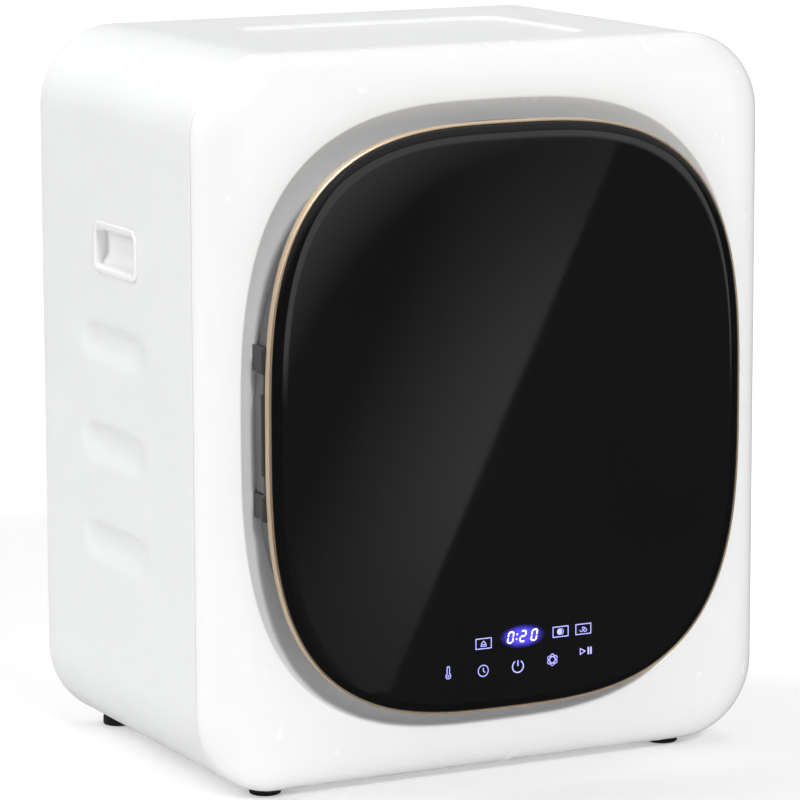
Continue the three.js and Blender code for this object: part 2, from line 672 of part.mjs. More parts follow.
function motorHousing() {
  const { shaft, radius, front, back } = MOTOR;
  const bore = shaft + 0.5;
  const profile = [[bore, front], [14, front], [14, front + 4], [radius - 4, front + 4], [radius, front + 10],
    [radius, back - 10], [radius - 4, back - 4], [14, back - 4], [14, back], [bore, back], [bore, front]];
  return turned(profile, MOTOR.x, MOTOR.z, 16);
}

function bracketPlate(y0) {
  const y1 = y0 + 2;
  const round = disc(47, y0, y1, MOTOR.x, MOTOR.z, 16);
  const leg = box(126, 176, y0, y1, FLOOR, MOTOR.z);
  return round.add(leg).subtract(disc(15, y0 - 1, y1 + 1, MOTOR.x, MOTOR.z, 12));
}

function motorBracket() {
  const front = MOTOR.front - 3;
  const back = MOTOR.back + 0.5;
  const floor = box(78, 176, front, back + 2, FLOOR, FLOOR + 2.2);
  const pivotHole = disc(IDLER.pivotRadius + GAP, front - 1, front + 3, IDLER.pivotX, IDLER.pivotZ, 12);
  const anchor = disc(1.5, -58, front + 1, SPRING_ANCHOR.x, SPRING_ANCHOR.z, 8);
  return joined([floor, bracketPlate(front), bracketPlate(back), anchor]).subtract(pivotHole);
}

function runCapacitor() {
  const z = FLOOR + 2.2 + GAP + 17;
  const profile = [[0, 0], [17, 0], [17, 50], [7, 52], [7, 56], [0, 56]];
  return turned(profile, 100, z, 20);
}

function motorShaft() {
  return disc(MOTOR.shaft, -75, 154, MOTOR.x, MOTOR.z, 12);
}

function drumDrivePulley() {
  const groove = DRUM_BELT.pulleyRadius - GAP;
  return pulley(MOTOR.shaft + GAP, groove, DRUM_BELT.front - 3, DRUM_BELT.back + 3, MOTOR.x, MOTOR.z);
}

function fanDrivePulley() {
  const groove = FAN_BELT.pulleyRadius - GAP;
  return pulley(MOTOR.shaft + GAP, groove, FAN_BELT.front - 3, FAN_BELT.back + 3, MOTOR.x, MOTOR.z);
}

function drumBelt() {
  const drum = { x: 0, z: AXIS_Z, radius: DRUM_BELT.drumRadius };
  const motor = { x: MOTOR.x, z: MOTOR.z, radius: DRUM_BELT.pulleyRadius };
  return belt(drum, motor, DRUM_BELT.thickness, DRUM_BELT.front, DRUM_BELT.back, 10);
}

function fanBelt() {
  const motor = { x: MOTOR.x, z: MOTOR.z, radius: FAN_BELT.pulleyRadius };
  const fan = { x: 0, z: AXIS_Z, radius: FAN_BELT.fanRadius };
  return belt(motor, fan, FAN_BELT.thickness, FAN_BELT.front, FAN_BELT.back, 6);
}

// The idler lies against the outer side of the belt's lower run.
function idlerCentre() {
  const drum = { x: 0, z: AXIS_Z, radius: DRUM_BELT.drumRadius };
  const motor = { x: MOTOR.x, z: MOTOR.z, radius: DRUM_BELT.pulleyRadius };
  const [low] = runAngles(drum, motor);
  const outward = new THREE.Vector2(Math.cos(low), Math.sin(low));
  const start = new THREE.Vector2(drum.x, drum.z).addScaledVector(outward, drum.radius);
  const end = new THREE.Vector2(motor.x, motor.z).addScaledVector(outward, motor.radius);
  const touch = start.lerp(end, IDLER.along);
  return touch.addScaledVector(outward, DRUM_BELT.thickness + GAP + IDLER.radius);
}

function armPoint(along) {
  const pivot = new THREE.Vector2(IDLER.pivotX, IDLER.pivotZ);
  return pivot.lerp(idlerCentre(), along);
}

function idlerArm() {
  const axle = armPoint(1);
  const stud = armPoint(ARM.springPlace);
  const big = { x: IDLER.pivotX, z: IDLER.pivotZ, radius: 9 };
  const small = { x: axle.x, z: axle.y, radius: 7 };
  const arm = slab(loopShape(big, small), ARM.front, ARM.front + ARM.thickness);
  const pivot = disc(IDLER.pivotRadius, ARM.front + 1, MOTOR.front + 2, big.x, big.z, 12);
  const pin = disc(IDLER.axle, DRUM_BELT.front - 4, ARM.front + 1, axle.x, axle.y, 12);
  const hook = disc(1.5, -58, ARM.front + 1, stud.x, stud.y, 8);
  return joined([arm, pivot, pin, hook]);
}

function idlerPulley() {
  const { x, y: z } = idlerCentre();
  return ring(IDLER.axle + GAP, IDLER.radius, DRUM_BELT.front, DRUM_BELT.back, x, z, 24);
}

// A close coil of wire between the arm's stud and the bracket's anchor.
class Coil extends THREE.Curve {
  constructor(start, end, radius, turns) {
    super();
    this.start = start;
    this.along = end.clone().sub(start);
    this.radius = radius;
    this.turns = turns;
  }

  getPoint(t, target = new THREE.Vector3()) {
    const unit = this.along.clone().normalize();
    const side = new THREE.Vector3(0, 1, 0);
    const across = unit.clone().cross(side);
    const angle = 2 * Math.PI * this.turns * t;
    target.copy(this.start).addScaledVector(this.along, t);
    target.addScaledVector(side, this.radius * Math.sin(angle));
    return target.addScaledVector(across, this.radius * Math.cos(angle));
  }
}

function tensionSpring() {
  const stud = armPoint(ARM.springPlace);
  const low = new THREE.Vector3(stud.x, -54.5, stud.y);
  const high = new THREE.Vector3(SPRING_ANCHOR.x, -54.5, SPRING_ANCHOR.z);
  const start = low.clone().lerp(high, 0.12);
  const end = low.clone().lerp(high, 0.88);
  const turns = 6;
  const path = new Coil(start, end, 3, turns);
  const wire = circleAt(0, 0, 0.7);
  const geometry = new THREE.ExtrudeGeometry(wire, { steps: turns * 8, extrudePath: path, curveSegments: 2 });
  return toSolid(geometry);
}

function powerBoard() {
  const deck = 20;
  const board = box(-180, -70, -50, 50, deck, deck + 2);
  const transformer = box(-125, -85, -15, 25, deck + 1, deck + 30);
  const relays = box(-165, -140, -5, 30, deck + 1, deck + 18);
  const heatSink = box(-170, -150, -42, -20, deck + 1, deck + 25);
  const legs = [];
  for (const x of [-172, -78]) {
    for (const y of [-42, 42]) legs.push(upright([[0, FLOOR], [3, FLOOR], [3, deck + 1], [0, deck + 1]], x, y, 8));
  }
  return joined([board, transformer, relays, heatSink, ...legs]);
}

// ---- Assembly ----

const FINISHES = {
  whiteSteel: { color: 0xf1f2f3, roughness: 0.35, metalness: 0 },
  whitePlastic: { color: 0xf4f4f5, roughness: 0.3, metalness: 0 },
  greyPlastic: { color: 0x75777a, roughness: 0.5, metalness: 0 },
  darkPlastic: { color: 0x2b2d30, roughness: 0.55, metalness: 0 },
  rubber: { color: 0x101010, roughness: 0.8, metalness: 0 },
  greyRubber: { color: 0x6c6e70, roughness: 0.8, metalness: 0 },
  blackGlass: { color: 0x050506, roughness: 0.06, metalness: 0 },
  clearPlastic: { color: 0xa8b0b4, roughness: 0.1, metalness: 0 },
  goldTrim: { color: 0xbfa688, roughness: 0.3, metalness: 0.9 },
  bareSteel: { color: 0xb4b7ba, roughness: 0.35, metalness: 1 },
  aluminium: { color: 0xc8cacc, roughness: 0.4, metalness: 1 },
  felt: { color: 0xcfcac0, roughness: 0.95, metalness: 0 },
  circuitBoard: { color: 0x1d5a38, roughness: 0.5, metalness: 0 },
};

function piece(name, solid, finish) {
  const { vertProperties, triVerts } = solid.getMesh();
  const geometry = new THREE.BufferGeometry();
  geometry.setAttribute('position', new THREE.BufferAttribute(new Float32Array(vertProperties), 3));
  geometry.setIndex(new THREE.BufferAttribute(new Uint32Array(triVerts), 1));
  geometry.computeVertexNormals();
  const mesh = new THREE.Mesh(geometry, new THREE.MeshStandardMaterial(FINISHES[finish]));
  mesh.name = name;
  return mesh;
}

function group(...members) {
  const whole = new THREE.Group();
  whole.add(...members);
  return whole;
}

function handleCups() {
  const right = piece('right_handle_cup', handleCup(), 'whitePlastic');
  right.position.set(SIDE, HANDLE.y, HANDLE.z);
  const left = piece('left_handle_cup', handleCup(), 'whitePlastic');
  left.position.set(-SIDE, HANDLE.y, HANDLE.z);
  left.rotation.z = Math.PI;
  return [left, right];
}

function feet() {
  const places = [
    ['foot_front_left', -178, -117],
    ['foot_front_right', 178, -117],
    ['foot_rear_left', -190, 141],
    ['foot_rear_right', 190, 141],
  ];
  return places.map(([name, x, y]) => {
    const mesh = piece(name, foot(), 'rubber');
    mesh.position.set(x, y, 0);
    return mesh;
  });
}

function rearScrews() {
  return screwPlaces().map(({ x, z }, i) => {
    const mesh = piece(`rear_screw_${i + 1}`, rearScrew(), 'bareSteel');
    mesh.position.set(x, REAR, z);
    return mesh;
  });
}

function lifters() {
  return [0, 1, 2].map((i) => {
    const mesh = piece(`lifter_${i + 1}`, lifter(), 'bareSteel');
    mesh.position.set(0, 0, AXIS_Z);
    mesh.rotation.y = (i * 2 * Math.PI) / 3;
    return mesh;
  });
}

const cabinet = group(
  piece('cabinet_wrap', cabinetWrap(), 'whiteSteel'),
  piece('front_panel', frontPanel(), 'whitePlastic'),
  piece('rear_panel', rearPanel(), 'whiteSteel'),
  ...handleCups(),
  ...feet(),
  ...rearScrews(),
  piece('cord_gland', cordGland(), 'darkPlastic'),
  piece('front_bulkhead', frontBulkhead(), 'bareSteel'),
  piece('front_felt_seal', frontFeltSeal(), 'felt'),
  piece('rear_bulkhead', rearBulkhead(), 'bareSteel'),
  piece('drum_bearing', drumBearing(), 'bareSteel'),
  piece('hinge_bracket', hingeBracket(), 'darkPlastic'),
  piece('hinge_pin', hingePin(), 'bareSteel'),
  piece('strike_plate', strikePlate(), 'bareSteel'),
  piece('door_switch', doorSwitch(), 'darkPlastic'),
  piece('door_switch_plunger', doorSwitchPlunger(), 'whitePlastic'),
  piece('power_board', powerBoard(), 'circuitBoard'),
);

const door = group(
  piece('door_glass', doorGlass(), 'blackGlass'),
  piece('door_trim', doorTrim(), 'goldTrim'),
  piece('door_shell', doorShell(), 'greyPlastic'),
  piece('door_window', doorWindow(), 'clearPlastic'),
  piece('door_gasket', doorGasket(), 'greyRubber'),
  piece('touch_board', touchBoard(), 'circuitBoard'),
  piece('door_magnet', doorMagnet(), 'bareSteel'),
  piece('hinge_leaf', hingeLeaf(), 'darkPlastic'),
);

const drum = group(
  piece('drum_shell', drumShell(), 'bareSteel'),
  piece('drum_front_ring', drumFrontRing(), 'bareSteel'),
  piece('drum_back', drumBack(), 'bareSteel'),
  ...lifters(),
  piece('drum_hub', drumHub(), 'bareSteel'),
  piece('drum_shaft', drumShaft(), 'bareSteel'),
  piece('lint_filter', lintFilter(), 'whitePlastic'),
);

const airPath = group(
  piece('fan_scroll', fanScroll(), 'greyPlastic'),
  piece('fan_wheel', fanWheel(), 'whitePlastic'),
  piece('fan_pulley', fanPulley(), 'darkPlastic'),
  piece('heater_duct', heaterDuct(), 'bareSteel'),
  piece('heater_element', heaterElement(), 'aluminium'),
  piece('thermal_cutout', thermalCutout(), 'darkPlastic'),
  piece('intake_grille', intakeGrille(), 'whitePlastic'),
  piece('exhaust_collar', exhaustCollar(), 'whitePlastic'),
);

const drive = group(
  piece('motor_housing', motorHousing(), 'aluminium'),
  piece('motor_bracket', motorBracket(), 'bareSteel'),
  piece('run_capacitor', runCapacitor(), 'aluminium'),
  piece('motor_shaft', motorShaft(), 'bareSteel'),
  piece('drum_drive_pulley', drumDrivePulley(), 'aluminium'),
  piece('fan_drive_pulley', fanDrivePulley(), 'darkPlastic'),
  piece('drum_belt', drumBelt(), 'rubber'),
  piece('fan_belt', fanBelt(), 'rubber'),
  piece('idler_arm', idlerArm(), 'bareSteel'),
  piece('idler_pulley', idlerPulley(), 'darkPlastic'),
  piece('tension_spring', tensionSpring(), 'bareSteel'),
);

export default group(cabinet, door, drum, airPath, drive);
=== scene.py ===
"""Looks of a compact clothes dryer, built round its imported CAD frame.

Metres, with +Z up and the front along -Y. Sizes written with MM are in millimetres.
"""

import math

import bmesh
import bpy
import numpy as np
from mathutils import Matrix, Vector


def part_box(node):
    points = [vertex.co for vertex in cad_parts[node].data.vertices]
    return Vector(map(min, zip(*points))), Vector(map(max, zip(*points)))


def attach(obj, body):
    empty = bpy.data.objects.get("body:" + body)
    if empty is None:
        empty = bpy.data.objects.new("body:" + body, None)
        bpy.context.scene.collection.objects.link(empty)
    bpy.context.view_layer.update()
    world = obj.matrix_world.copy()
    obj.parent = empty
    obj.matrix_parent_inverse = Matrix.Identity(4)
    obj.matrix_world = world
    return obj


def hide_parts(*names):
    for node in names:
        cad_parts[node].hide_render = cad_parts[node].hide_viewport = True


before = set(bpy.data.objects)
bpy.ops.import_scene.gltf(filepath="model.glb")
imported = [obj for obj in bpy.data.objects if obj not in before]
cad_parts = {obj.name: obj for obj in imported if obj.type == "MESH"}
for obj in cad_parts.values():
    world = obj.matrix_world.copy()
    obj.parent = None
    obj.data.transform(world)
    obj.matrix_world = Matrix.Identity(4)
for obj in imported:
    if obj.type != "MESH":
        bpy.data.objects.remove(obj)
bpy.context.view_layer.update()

MM = 0.001


# ---- Sizes taken from the frame ----

def reach(*names):
    """Lowest and highest corner of several CAD nodes together."""
    boxes = [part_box(name) for name in names]
    low = Vector([min(b[0][i] for b in boxes) for i in range(3)])
    high = Vector([max(b[1][i] for b in boxes) for i in range(3)])
    return low, high


BODY_LOW, BODY_HIGH = reach("cabinet_wrap", "front_panel")
HALF_WIDTH = BODY_HIGH.x
HALF_HEIGHT = (BODY_HIGH.z - BODY_LOW.z) / 2
AXIS_Z = (BODY_HIGH.z + BODY_LOW.z) / 2
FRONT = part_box("front_panel")[0].y
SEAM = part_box("front_panel")[1].y
WRAP_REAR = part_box("cabinet_wrap")[1].y
CORNER = 64 * MM

GLASS_LOW, GLASS_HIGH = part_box("door_glass")
GLASS_HALF_WIDTH = GLASS_HIGH.x
GLASS_HALF_HEIGHT = (GLASS_HIGH.z - GLASS_LOW.z) / 2
GLASS_FRONT = GLASS_LOW.y
GLASS_POWER = 3.08
SHELL_POWER = 2.5
SHELL_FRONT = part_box("door_shell")[0].y
SHELL_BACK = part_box("door_shell")[1].y
RECESS_HALF_WIDTH = GLASS_HALF_WIDTH + 13.8 * MM
RECESS_HALF_HEIGHT = GLASS_HALF_HEIGHT + 16.6 * MM
RECESS_POWER = 3.0
RECESS_FLOOR = FRONT + 16 * MM
RECESS_TILT = math.radians(45)
MOUTH_RADIUS = 150 * MM
WINDOW_HOLE = 147 * MM


# ---- Outlines in the (x, z) plane, anticlockwise ----

class Outline:
    """Points round the drum axis, with their outward normals."""

    def __init__(self, points, normals):
        self.points = np.array(points, float)
        self.normals = np.array(normals, float)

    def ring(self, offset, y):
        """The outline moved outward by offset and set at depth y."""
        flat = self.points + self.normals * offset
        depth = np.full(len(flat), y) if np.isscalar(y) else np.asarray(y)
        return np.column_stack([flat[:, 0], depth, flat[:, 1] + AXIS_Z])

    def angles(self):
        return np.arctan2(self.points[:, 1], self.points[:, 0])


def rounded_rectangle(half_width, half_height, radius, corner, top, side, bottom):
    """A rectangle with round corners, and the number of steps along each corner and edge."""
    across = half_width - radius
    up = half_height - radius
    centres = [(across, up), (-across, up), (-across, -up), (across, -up)]
    points, normals = [], []
    for i, run in enumerate([top, side, bottom, side]):
        centre = np.array(centres[i])
        for k in range(corner + 1):
            angle = (i + k / corner) * math.pi / 2
            normal = np.array([math.cos(angle), math.sin(angle)])
            points.append(centre + radius * normal)
            normals.append(normal)
        start = points[-1]
        end = np.array(centres[(i + 1) % 4]) + radius * normal
        for k in range(1, run):
            points.append(start + (end - start) * k / run)
            normals.append(normal)
    return Outline(points, normals)


def square_oval(half_width, half_height, power, angles):
    """|x / a|^power + |z / b|^power = 1, sampled at the given angles about its centre."""
    c, s = np.cos(angles), np.sin(angles)
    distance = (np.abs(c / half_width) ** power + np.abs(s / half_height) ** power) ** (-1 / power)
    x, z = distance * c, distance * s
    nx = np.sign(x) * np.abs(x) ** (power - 1) / half_width ** power
    nz = np.sign(z) * np.abs(z) ** (power - 1) / half_height ** power
    length = np.hypot(nx, nz)
    return Outline(np.column_stack([x, z]), np.column_stack([nx / length, nz / length]))


def circle(radius, angles):
    return square_oval(radius, radius, 2.0, angles)


def turn(count):
    """Equal angles round a full turn."""
    return np.linspace(0, 2 * math.pi, count, endpoint=False)


DOOR_STEPS = 240
DOOR = square_oval(GLASS_HALF_WIDTH, GLASS_HALF_HEIGHT, GLASS_POWER, turn(DOOR_STEPS))
SHELL = square_oval(GLASS_HALF_WIDTH, GLASS_HALF_HEIGHT, SHELL_POWER, turn(DOOR_STEPS))


# ---- Meshes ----

def loft(rings, closed=False, cap_start=False, cap_end=False):
    """Vertices and faces of a skin over equal rings of points."""
    count = len(rings[0])
    total = len(rings)
    faces = []
    for j in range(total if closed else total - 1):
        a = j * count
        b = (j + 1) % total * count
        for i in range(count):
            k = (i + 1) % count
            faces.append((a + i, a + k, b + k, b + i))
    if cap_start:
        faces.append(tuple(range(count)))
    if cap_end:
        faces.append(tuple(range((total - 1) * count, total * count)))
    return np.concatenate(rings), faces


def lathe(profile, count, closed=False, caps=(False, False)):
    """A profile of (radius, y) turned about the drum axis."""
    angles = turn(count)
    rings = []
    for radius, y in profile:
        rings.append(np.column_stack([
            radius * np.cos(angles), np.full(count, y), AXIS_Z + radius * np.sin(angles)]))
    return loft(rings, closed, *caps)


def upright(profile, x, y, count=48):
    """A profile of (radius, z) turned about the upright line through (x, y)."""
    angles = turn(count)
    rings = []
    for radius, z in profile:
        rings.append(np.column_stack([
            x + radius * np.cos(angles), y + radius * np.sin(angles), np.full(count, z)]))
    return loft(rings, cap_start=True, cap_end=True)


def merged(*skins):
    """Several skins as one."""
    vertices, faces, base = [], [], 0
    for points, polygons in skins:
        vertices.append(np.asarray(points, float))
        faces += [tuple(i + base for i in polygon) for polygon in polygons]
        base += len(points)
    return np.concatenate(vertices), faces


def block(low, high):
    """The skin of a box between two corners."""
    ends = list(zip(low, high))
    corners = [(x, y, z) for x in ends[0] for y in ends[1] for z in ends[2]]
    faces = [(0, 1, 3, 2), (4, 6, 7, 5), (0, 4, 5, 1), (2, 3, 7, 6), (0, 2, 6, 4), (1, 5, 7, 3)]
    return np.array(corners), faces


def carve(made, blocks, sharp):
    """Cuts boxes out of an object, each with a Boolean of its own, and keeps the result as its mesh."""
    cutters = []
    for vertices, faces in blocks:
        mesh = bpy.data.meshes.new("cutter")
        mesh.from_pydata([tuple(v) for v in vertices], [], faces)
        cutter = bpy.data.objects.new("cutter", mesh)
        bpy.context.scene.collection.objects.link(cutter)
        cut = made.modifiers.new("slot", "BOOLEAN")
        cut.operation = "DIFFERENCE"
        cut.object = cutter
        cutters.append(cutter)
    whole = made.data
    evaluated = made.evaluated_get(bpy.context.evaluated_depsgraph_get())
    made.data = bpy.data.meshes.new_from_object(evaluated)
    made.data.set_sharp_from_angle(angle=math.radians(sharp))
    made.modifiers.clear()
    for cutter in cutters:
        bpy.data.meshes.remove(cutter.data)
    bpy.data.meshes.remove(whole)


def piece(name, skin, body, material, replaces=(), sharp=32, outward=True, thickness=0.0,
          cuts=()):
    """An object with the given skin, riding on a CAD body in place of the CAD nodes it replaces."""
    vertices, faces = skin
    mesh = bpy.data.meshes.new(name)
    mesh.from_pydata([tuple(v) for v in vertices], [], faces)
    editable = bmesh.new()
    editable.from_mesh(mesh)
    bmesh.ops.remove_doubles(editable, verts=editable.verts, dist=1e-6)
    if outward:
        bmesh.ops.recalc_face_normals(editable, faces=editable.faces)
    editable.to_mesh(mesh)
    editable.free()
    mesh.shade_smooth()
    mesh.set_sharp_from_angle(angle=math.radians(sharp))
    mesh.materials.append(material)
    made = bpy.data.objects.new(name, mesh)
    bpy.context.scene.collection.objects.link(made)
    if thickness:
        skin_maker = made.modifiers.new("sheet", "SOLIDIFY")
        skin_maker.thickness = thickness
        skin_maker.offset = -1.0
    if cuts:
        carve(made, cuts, sharp)
    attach(made, body)
    if replaces:
        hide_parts(*replaces)
    return made


def quarter(steps, start=0.0, end=90.0):
    """Cosines and sines over part of a quarter turn."""
    angles = np.radians(np.linspace(start, end, steps))
    return list(zip(np.cos(angles), np.sin(angles)))


# ---- Materials ----

class Finish:
    """A node material: a Principled shader whose colour, roughness and bump vary by noise in object space."""

    def __init__(self, name, color, roughness, metallic=0.0, **sockets):
        self.material = bpy.data.materials.new(name)
        self.material.use_nodes = True
        self.nodes = self.material.node_tree.nodes
        self.links = self.material.node_tree.links
        self.shader = self.nodes["Principled BSDF"]
        self.shader.inputs["Base Color"].default_value = (*color, 1)
        self.shader.inputs["Roughness"].default_value = roughness
        self.shader.inputs["Metallic"].default_value = metallic
        for socket, value in sockets.items():
            self.shader.inputs[socket.replace("_", " ")].default_value = value
        self.place = self.nodes.new("ShaderNodeTexCoord").outputs["Object"]

    def noise(self, scale, detail=3.0, stretch=(1, 1, 1)):
        mapping = self.nodes.new("ShaderNodeMapping")
        mapping.inputs["Scale"].default_value = stretch
        self.links.new(self.place, mapping.inputs["Vector"])
        texture = self.nodes.new("ShaderNodeTexNoise")
        texture.inputs["Scale"].default_value = scale
        texture.inputs["Detail"].default_value = detail
        self.links.new(mapping.outputs["Vector"], texture.inputs["Vector"])
        return texture.outputs["Fac"]

    def ranged(self, value, source, target, kind="LINEAR"):
        """A value carried from one range to another and held at its ends."""
        spread = self.nodes.new("ShaderNodeMapRange")
        spread.interpolation_type = kind
        sockets = ("From Min", "From Max", "To Min", "To Max")
        for socket, number in zip(sockets, (*source, *target)):
            spread.inputs[socket].default_value = number
        self.links.new(value, spread.inputs["Value"])
        return spread.outputs["Result"]

    def sums(self, operation, *values):
        """A math node over sockets and numbers."""
        node = self.nodes.new("ShaderNodeMath")
        node.operation = operation
        for socket, value in zip(node.inputs, values):
            if isinstance(value, (int, float)):
                socket.default_value = value
            else:
                self.links.new(value, socket)
        return node.outputs["Value"]

    def centred(self, centre, half):
        """Distance from a centre, 1 on an ellipsoid of the given half sizes; a zero size is left out."""
        mapping = self.nodes.new("ShaderNodeMapping")
        mapping.inputs["Location"].default_value = [-c / h if h else 0 for c, h in zip(centre, half)]
        mapping.inputs["Scale"].default_value = [1 / h if h else 0 for h in half]
        self.links.new(self.place, mapping.inputs["Vector"])
        length = self.nodes.new("ShaderNodeVectorMath")
        length.operation = "LENGTH"
        self.links.new(mapping.outputs["Vector"], length.inputs[0])
        return length.outputs["Value"]

    def tint(self, other, scale, detail=3.0):
        """Base colour drifting between the shader's own and another."""
        ramp = self.nodes.new("ShaderNodeValToRGB")
        ramp.color_ramp.elements[0].color = self.shader.inputs["Base Color"].default_value
        ramp.color_ramp.elements[1].color = (*other, 1)
        ramp.color_ramp.elements[0].position = 0.35
        ramp.color_ramp.elements[1].position = 0.65
        self.links.new(self.noise(scale, detail), ramp.inputs["Fac"])
        self.links.new(ramp.outputs["Color"], self.shader.inputs["Base Color"])
        return self

    def polish(self, low, high, scale, stretch=(1, 1, 1)):
        """Roughness drifting between two values."""
        spread = self.ranged(self.noise(scale, stretch=stretch), (0.3, 0.7), (low, high))
        self.links.new(spread, self.shader.inputs["Roughness"])
        return self

    def grain(self, scale, depth, detail=2.0, stretch=(1, 1, 1)):
        """Relief of the given depth in metres."""
        bump = self.nodes.new("ShaderNodeBump")
        bump.inputs["Distance"].default_value = depth
        bump.inputs["Strength"].default_value = 1.0
        self.links.new(self.noise(scale, detail, stretch), bump.inputs["Height"])
        self.links.new(bump.outputs["Normal"], self.shader.inputs["Normal"])
        return self


def white_paint():
    finish = Finish("white_paint", (0.83, 0.835, 0.84), 0.36)
    finish.tint((0.845, 0.85, 0.852), 6).polish(0.32, 0.4, 40)
    return finish.grain(900, 0.00003).material


def white_plastic():
    finish = Finish("white_plastic", (0.86, 0.862, 0.865), 0.24)
    finish.tint((0.87, 0.872, 0.873), 5).polish(0.2, 0.28, 25)
    return finish.grain(260, 0.00002).material


def vent_plastic():
    finish = Finish("vent_plastic", (0.72, 0.725, 0.73), 0.45)
    finish.tint((0.75, 0.752, 0.755), 30)
    return finish.grain(2500, 0.00005).material


def grey_plastic():
    finish = Finish("grey_plastic", (0.15, 0.152, 0.155), 0.42)
    finish.tint((0.17, 0.172, 0.175), 20).polish(0.36, 0.48, 60)
    return finish.grain(2200, 0.00004).material


def shaded_arm_plastic():
    # Painted shade: a darker copy of the shell's grey, so the hinge arms and pin, which catch the light in
    # the gap behind the door, look as dark as the shade there.
    finish = Finish("shaded_arm_plastic", (0.085, 0.0855, 0.087), 0.6)
    finish.tint((0.1, 0.1005, 0.102), 30)
    return finish.grain(2200, 0.00004).material


def dark_plastic():
    finish = Finish("dark_plastic", (0.03, 0.0305, 0.033), 0.5)
    finish.tint((0.04, 0.0405, 0.043), 40).polish(0.42, 0.56, 90)
    return finish.grain(2600, 0.00005).material


def black_rubber():
    finish = Finish("black_rubber", (0.006, 0.006, 0.006), 0.7)
    finish.tint((0.012, 0.012, 0.012), 60).polish(0.6, 0.8, 120)
    return finish.grain(3000, 0.0001).material


def grey_rubber():
    finish = Finish("grey_rubber", (0.09, 0.09, 0.093), 0.68)
    finish.tint((0.11, 0.11, 0.112), 60)
    return finish.grain(2600, 0.00008).material


def champagne_metal():
    finish = Finish("champagne_metal", (0.8, 0.635, 0.455), 0.3, 0.85)
    finish.tint((0.83, 0.665, 0.485), 12).polish(0.27, 0.33, 30)
    return finish.grain(400, 0.000005).material


def brushed_steel():
    finish = Finish("brushed_steel", (0.5, 0.51, 0.52), 0.32, 1.0)
    finish.tint((0.58, 0.585, 0.59), 18).polish(0.26, 0.42, 300, stretch=(1, 12, 1))
    return finish.grain(1200, 0.00002, stretch=(1, 20, 1)).material


def galvanised_steel():
    finish = Finish("galvanised_steel", (0.42, 0.43, 0.44), 0.42, 0.9)
    finish.tint((0.56, 0.57, 0.58), 90, detail=1.0).polish(0.34, 0.52, 90)
    return finish.grain(600, 0.00002).material


def cast_aluminium():
    finish = Finish("cast_aluminium", (0.5, 0.505, 0.51), 0.45, 0.95)
    finish.tint((0.6, 0.605, 0.61), 70)
    return finish.grain(1500, 0.00008).material


def wool_felt():
    finish = Finish("wool_felt", (0.52, 0.5, 0.45), 0.95, Sheen_Weight=0.3)
    finish.tint((0.62, 0.6, 0.55), 400)
    return finish.grain(1800, 0.0003, detail=6).material


def circuit_green():
    finish = Finish("circuit_green", (0.015, 0.09, 0.04), 0.4)
    finish.tint((0.02, 0.13, 0.06), 500, detail=1.0)
    return finish.grain(900, 0.0001).material


def clear_plastic():
    finish = Finish("clear_plastic", (0.9, 0.92, 0.93), 0.05, IOR=1.46, Transmission_Weight=0.95)
    finish.polish(0.03, 0.08, 30)
    return finish.grain(60, 0.00002).material


def black_glass():
    """Glass printed black from behind."""
    finish = Finish("black_glass", (0.0038, 0.0038, 0.0042), 0.03, IOR=1.5)
    finish.tint((0.0046, 0.0046, 0.005), 8).polish(0.025, 0.04, 12)
    return finish.grain(30, 0.00001).material


def light_up(color, strength):
    """Lit display ink: a little brighter and duller along its length, as back-lit icons are."""
    finish = Finish("lit_ink_%.1f" % strength, color, 0.4)
    finish.tint(tuple(min(1.0, c * 1.15) for c in color), 300)
    ramp = finish.nodes.new("ShaderNodeValToRGB")
    ramp.color_ramp.elements[0].color = (*[c * 0.85 for c in color], 1)
    ramp.color_ramp.elements[1].color = (*color, 1)
    finish.links.new(finish.noise(220), ramp.inputs["Fac"])
    finish.links.new(ramp.outputs["Color"], finish.shader.inputs["Emission Color"])
    finish.shader.inputs["Emission Strength"].default_value = strength
    return finish.material


PAINT = white_paint()
WHITE = white_plastic()
VENT = vent_plastic()
GREY = grey_plastic()
SHADED_ARM = shaded_arm_plastic()
DARK = dark_plastic()
RUBBER = black_rubber()
SEAL = grey_rubber()
GOLD = champagne_metal()
STEEL = brushed_steel()
ZINC = galvanised_steel()
ALUMINIUM = cast_aluminium()
FELT = wool_felt()
BOARD = circuit_green()
CLEAR = clear_plastic()
GLASS = black_glass()


# ---- Cabinet wrap ----

HANDLE_LOW, HANDLE_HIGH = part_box("right_handle_cup")
HANDLE_Y = (HANDLE_LOW.y + HANDLE_HIGH.y) / 2
HANDLE_Z = (HANDLE_LOW.z + HANDLE_HIGH.z) / 2
HANDLE_HALF = ((HANDLE_HIGH.y - HANDLE_LOW.y) / 2, (HANDLE_HIGH.z - HANDLE_LOW.z) / 2)
DENT_HALF_LENGTH = 69 * MM
DENT_HALF_HEIGHT = 18.5 * MM
DENT_DEPTH = 5 * MM
DENT_Y = 12 * MM
DENT_HEIGHTS = [(174.5 + 80 * i) * MM for i in range(3)]
DENT_FADE = 30 * MM
DENT_BROW = 0.26
TRAY_CENTRE = -15 * MM
TRAY_HALF = (122 * MM, 85 * MM)
TRAY_CORNER = 25 * MM
TRAY_DEPTH = 2.5 * MM
TRAY_EDGE = 3.5 * MM
WRAP_THICKNESS = 1.2 * MM
REAR_ROUND = 10 * MM
REAR_TUCK = 14 * MM
HOLE_MARGIN = (4 * MM, 3 * MM)


def smooth_step(value):
    """0 to 1 with level ends, and held outside them."""
    t = np.clip(value, 0, 1)
    return t * t * (3 - 2 * t)


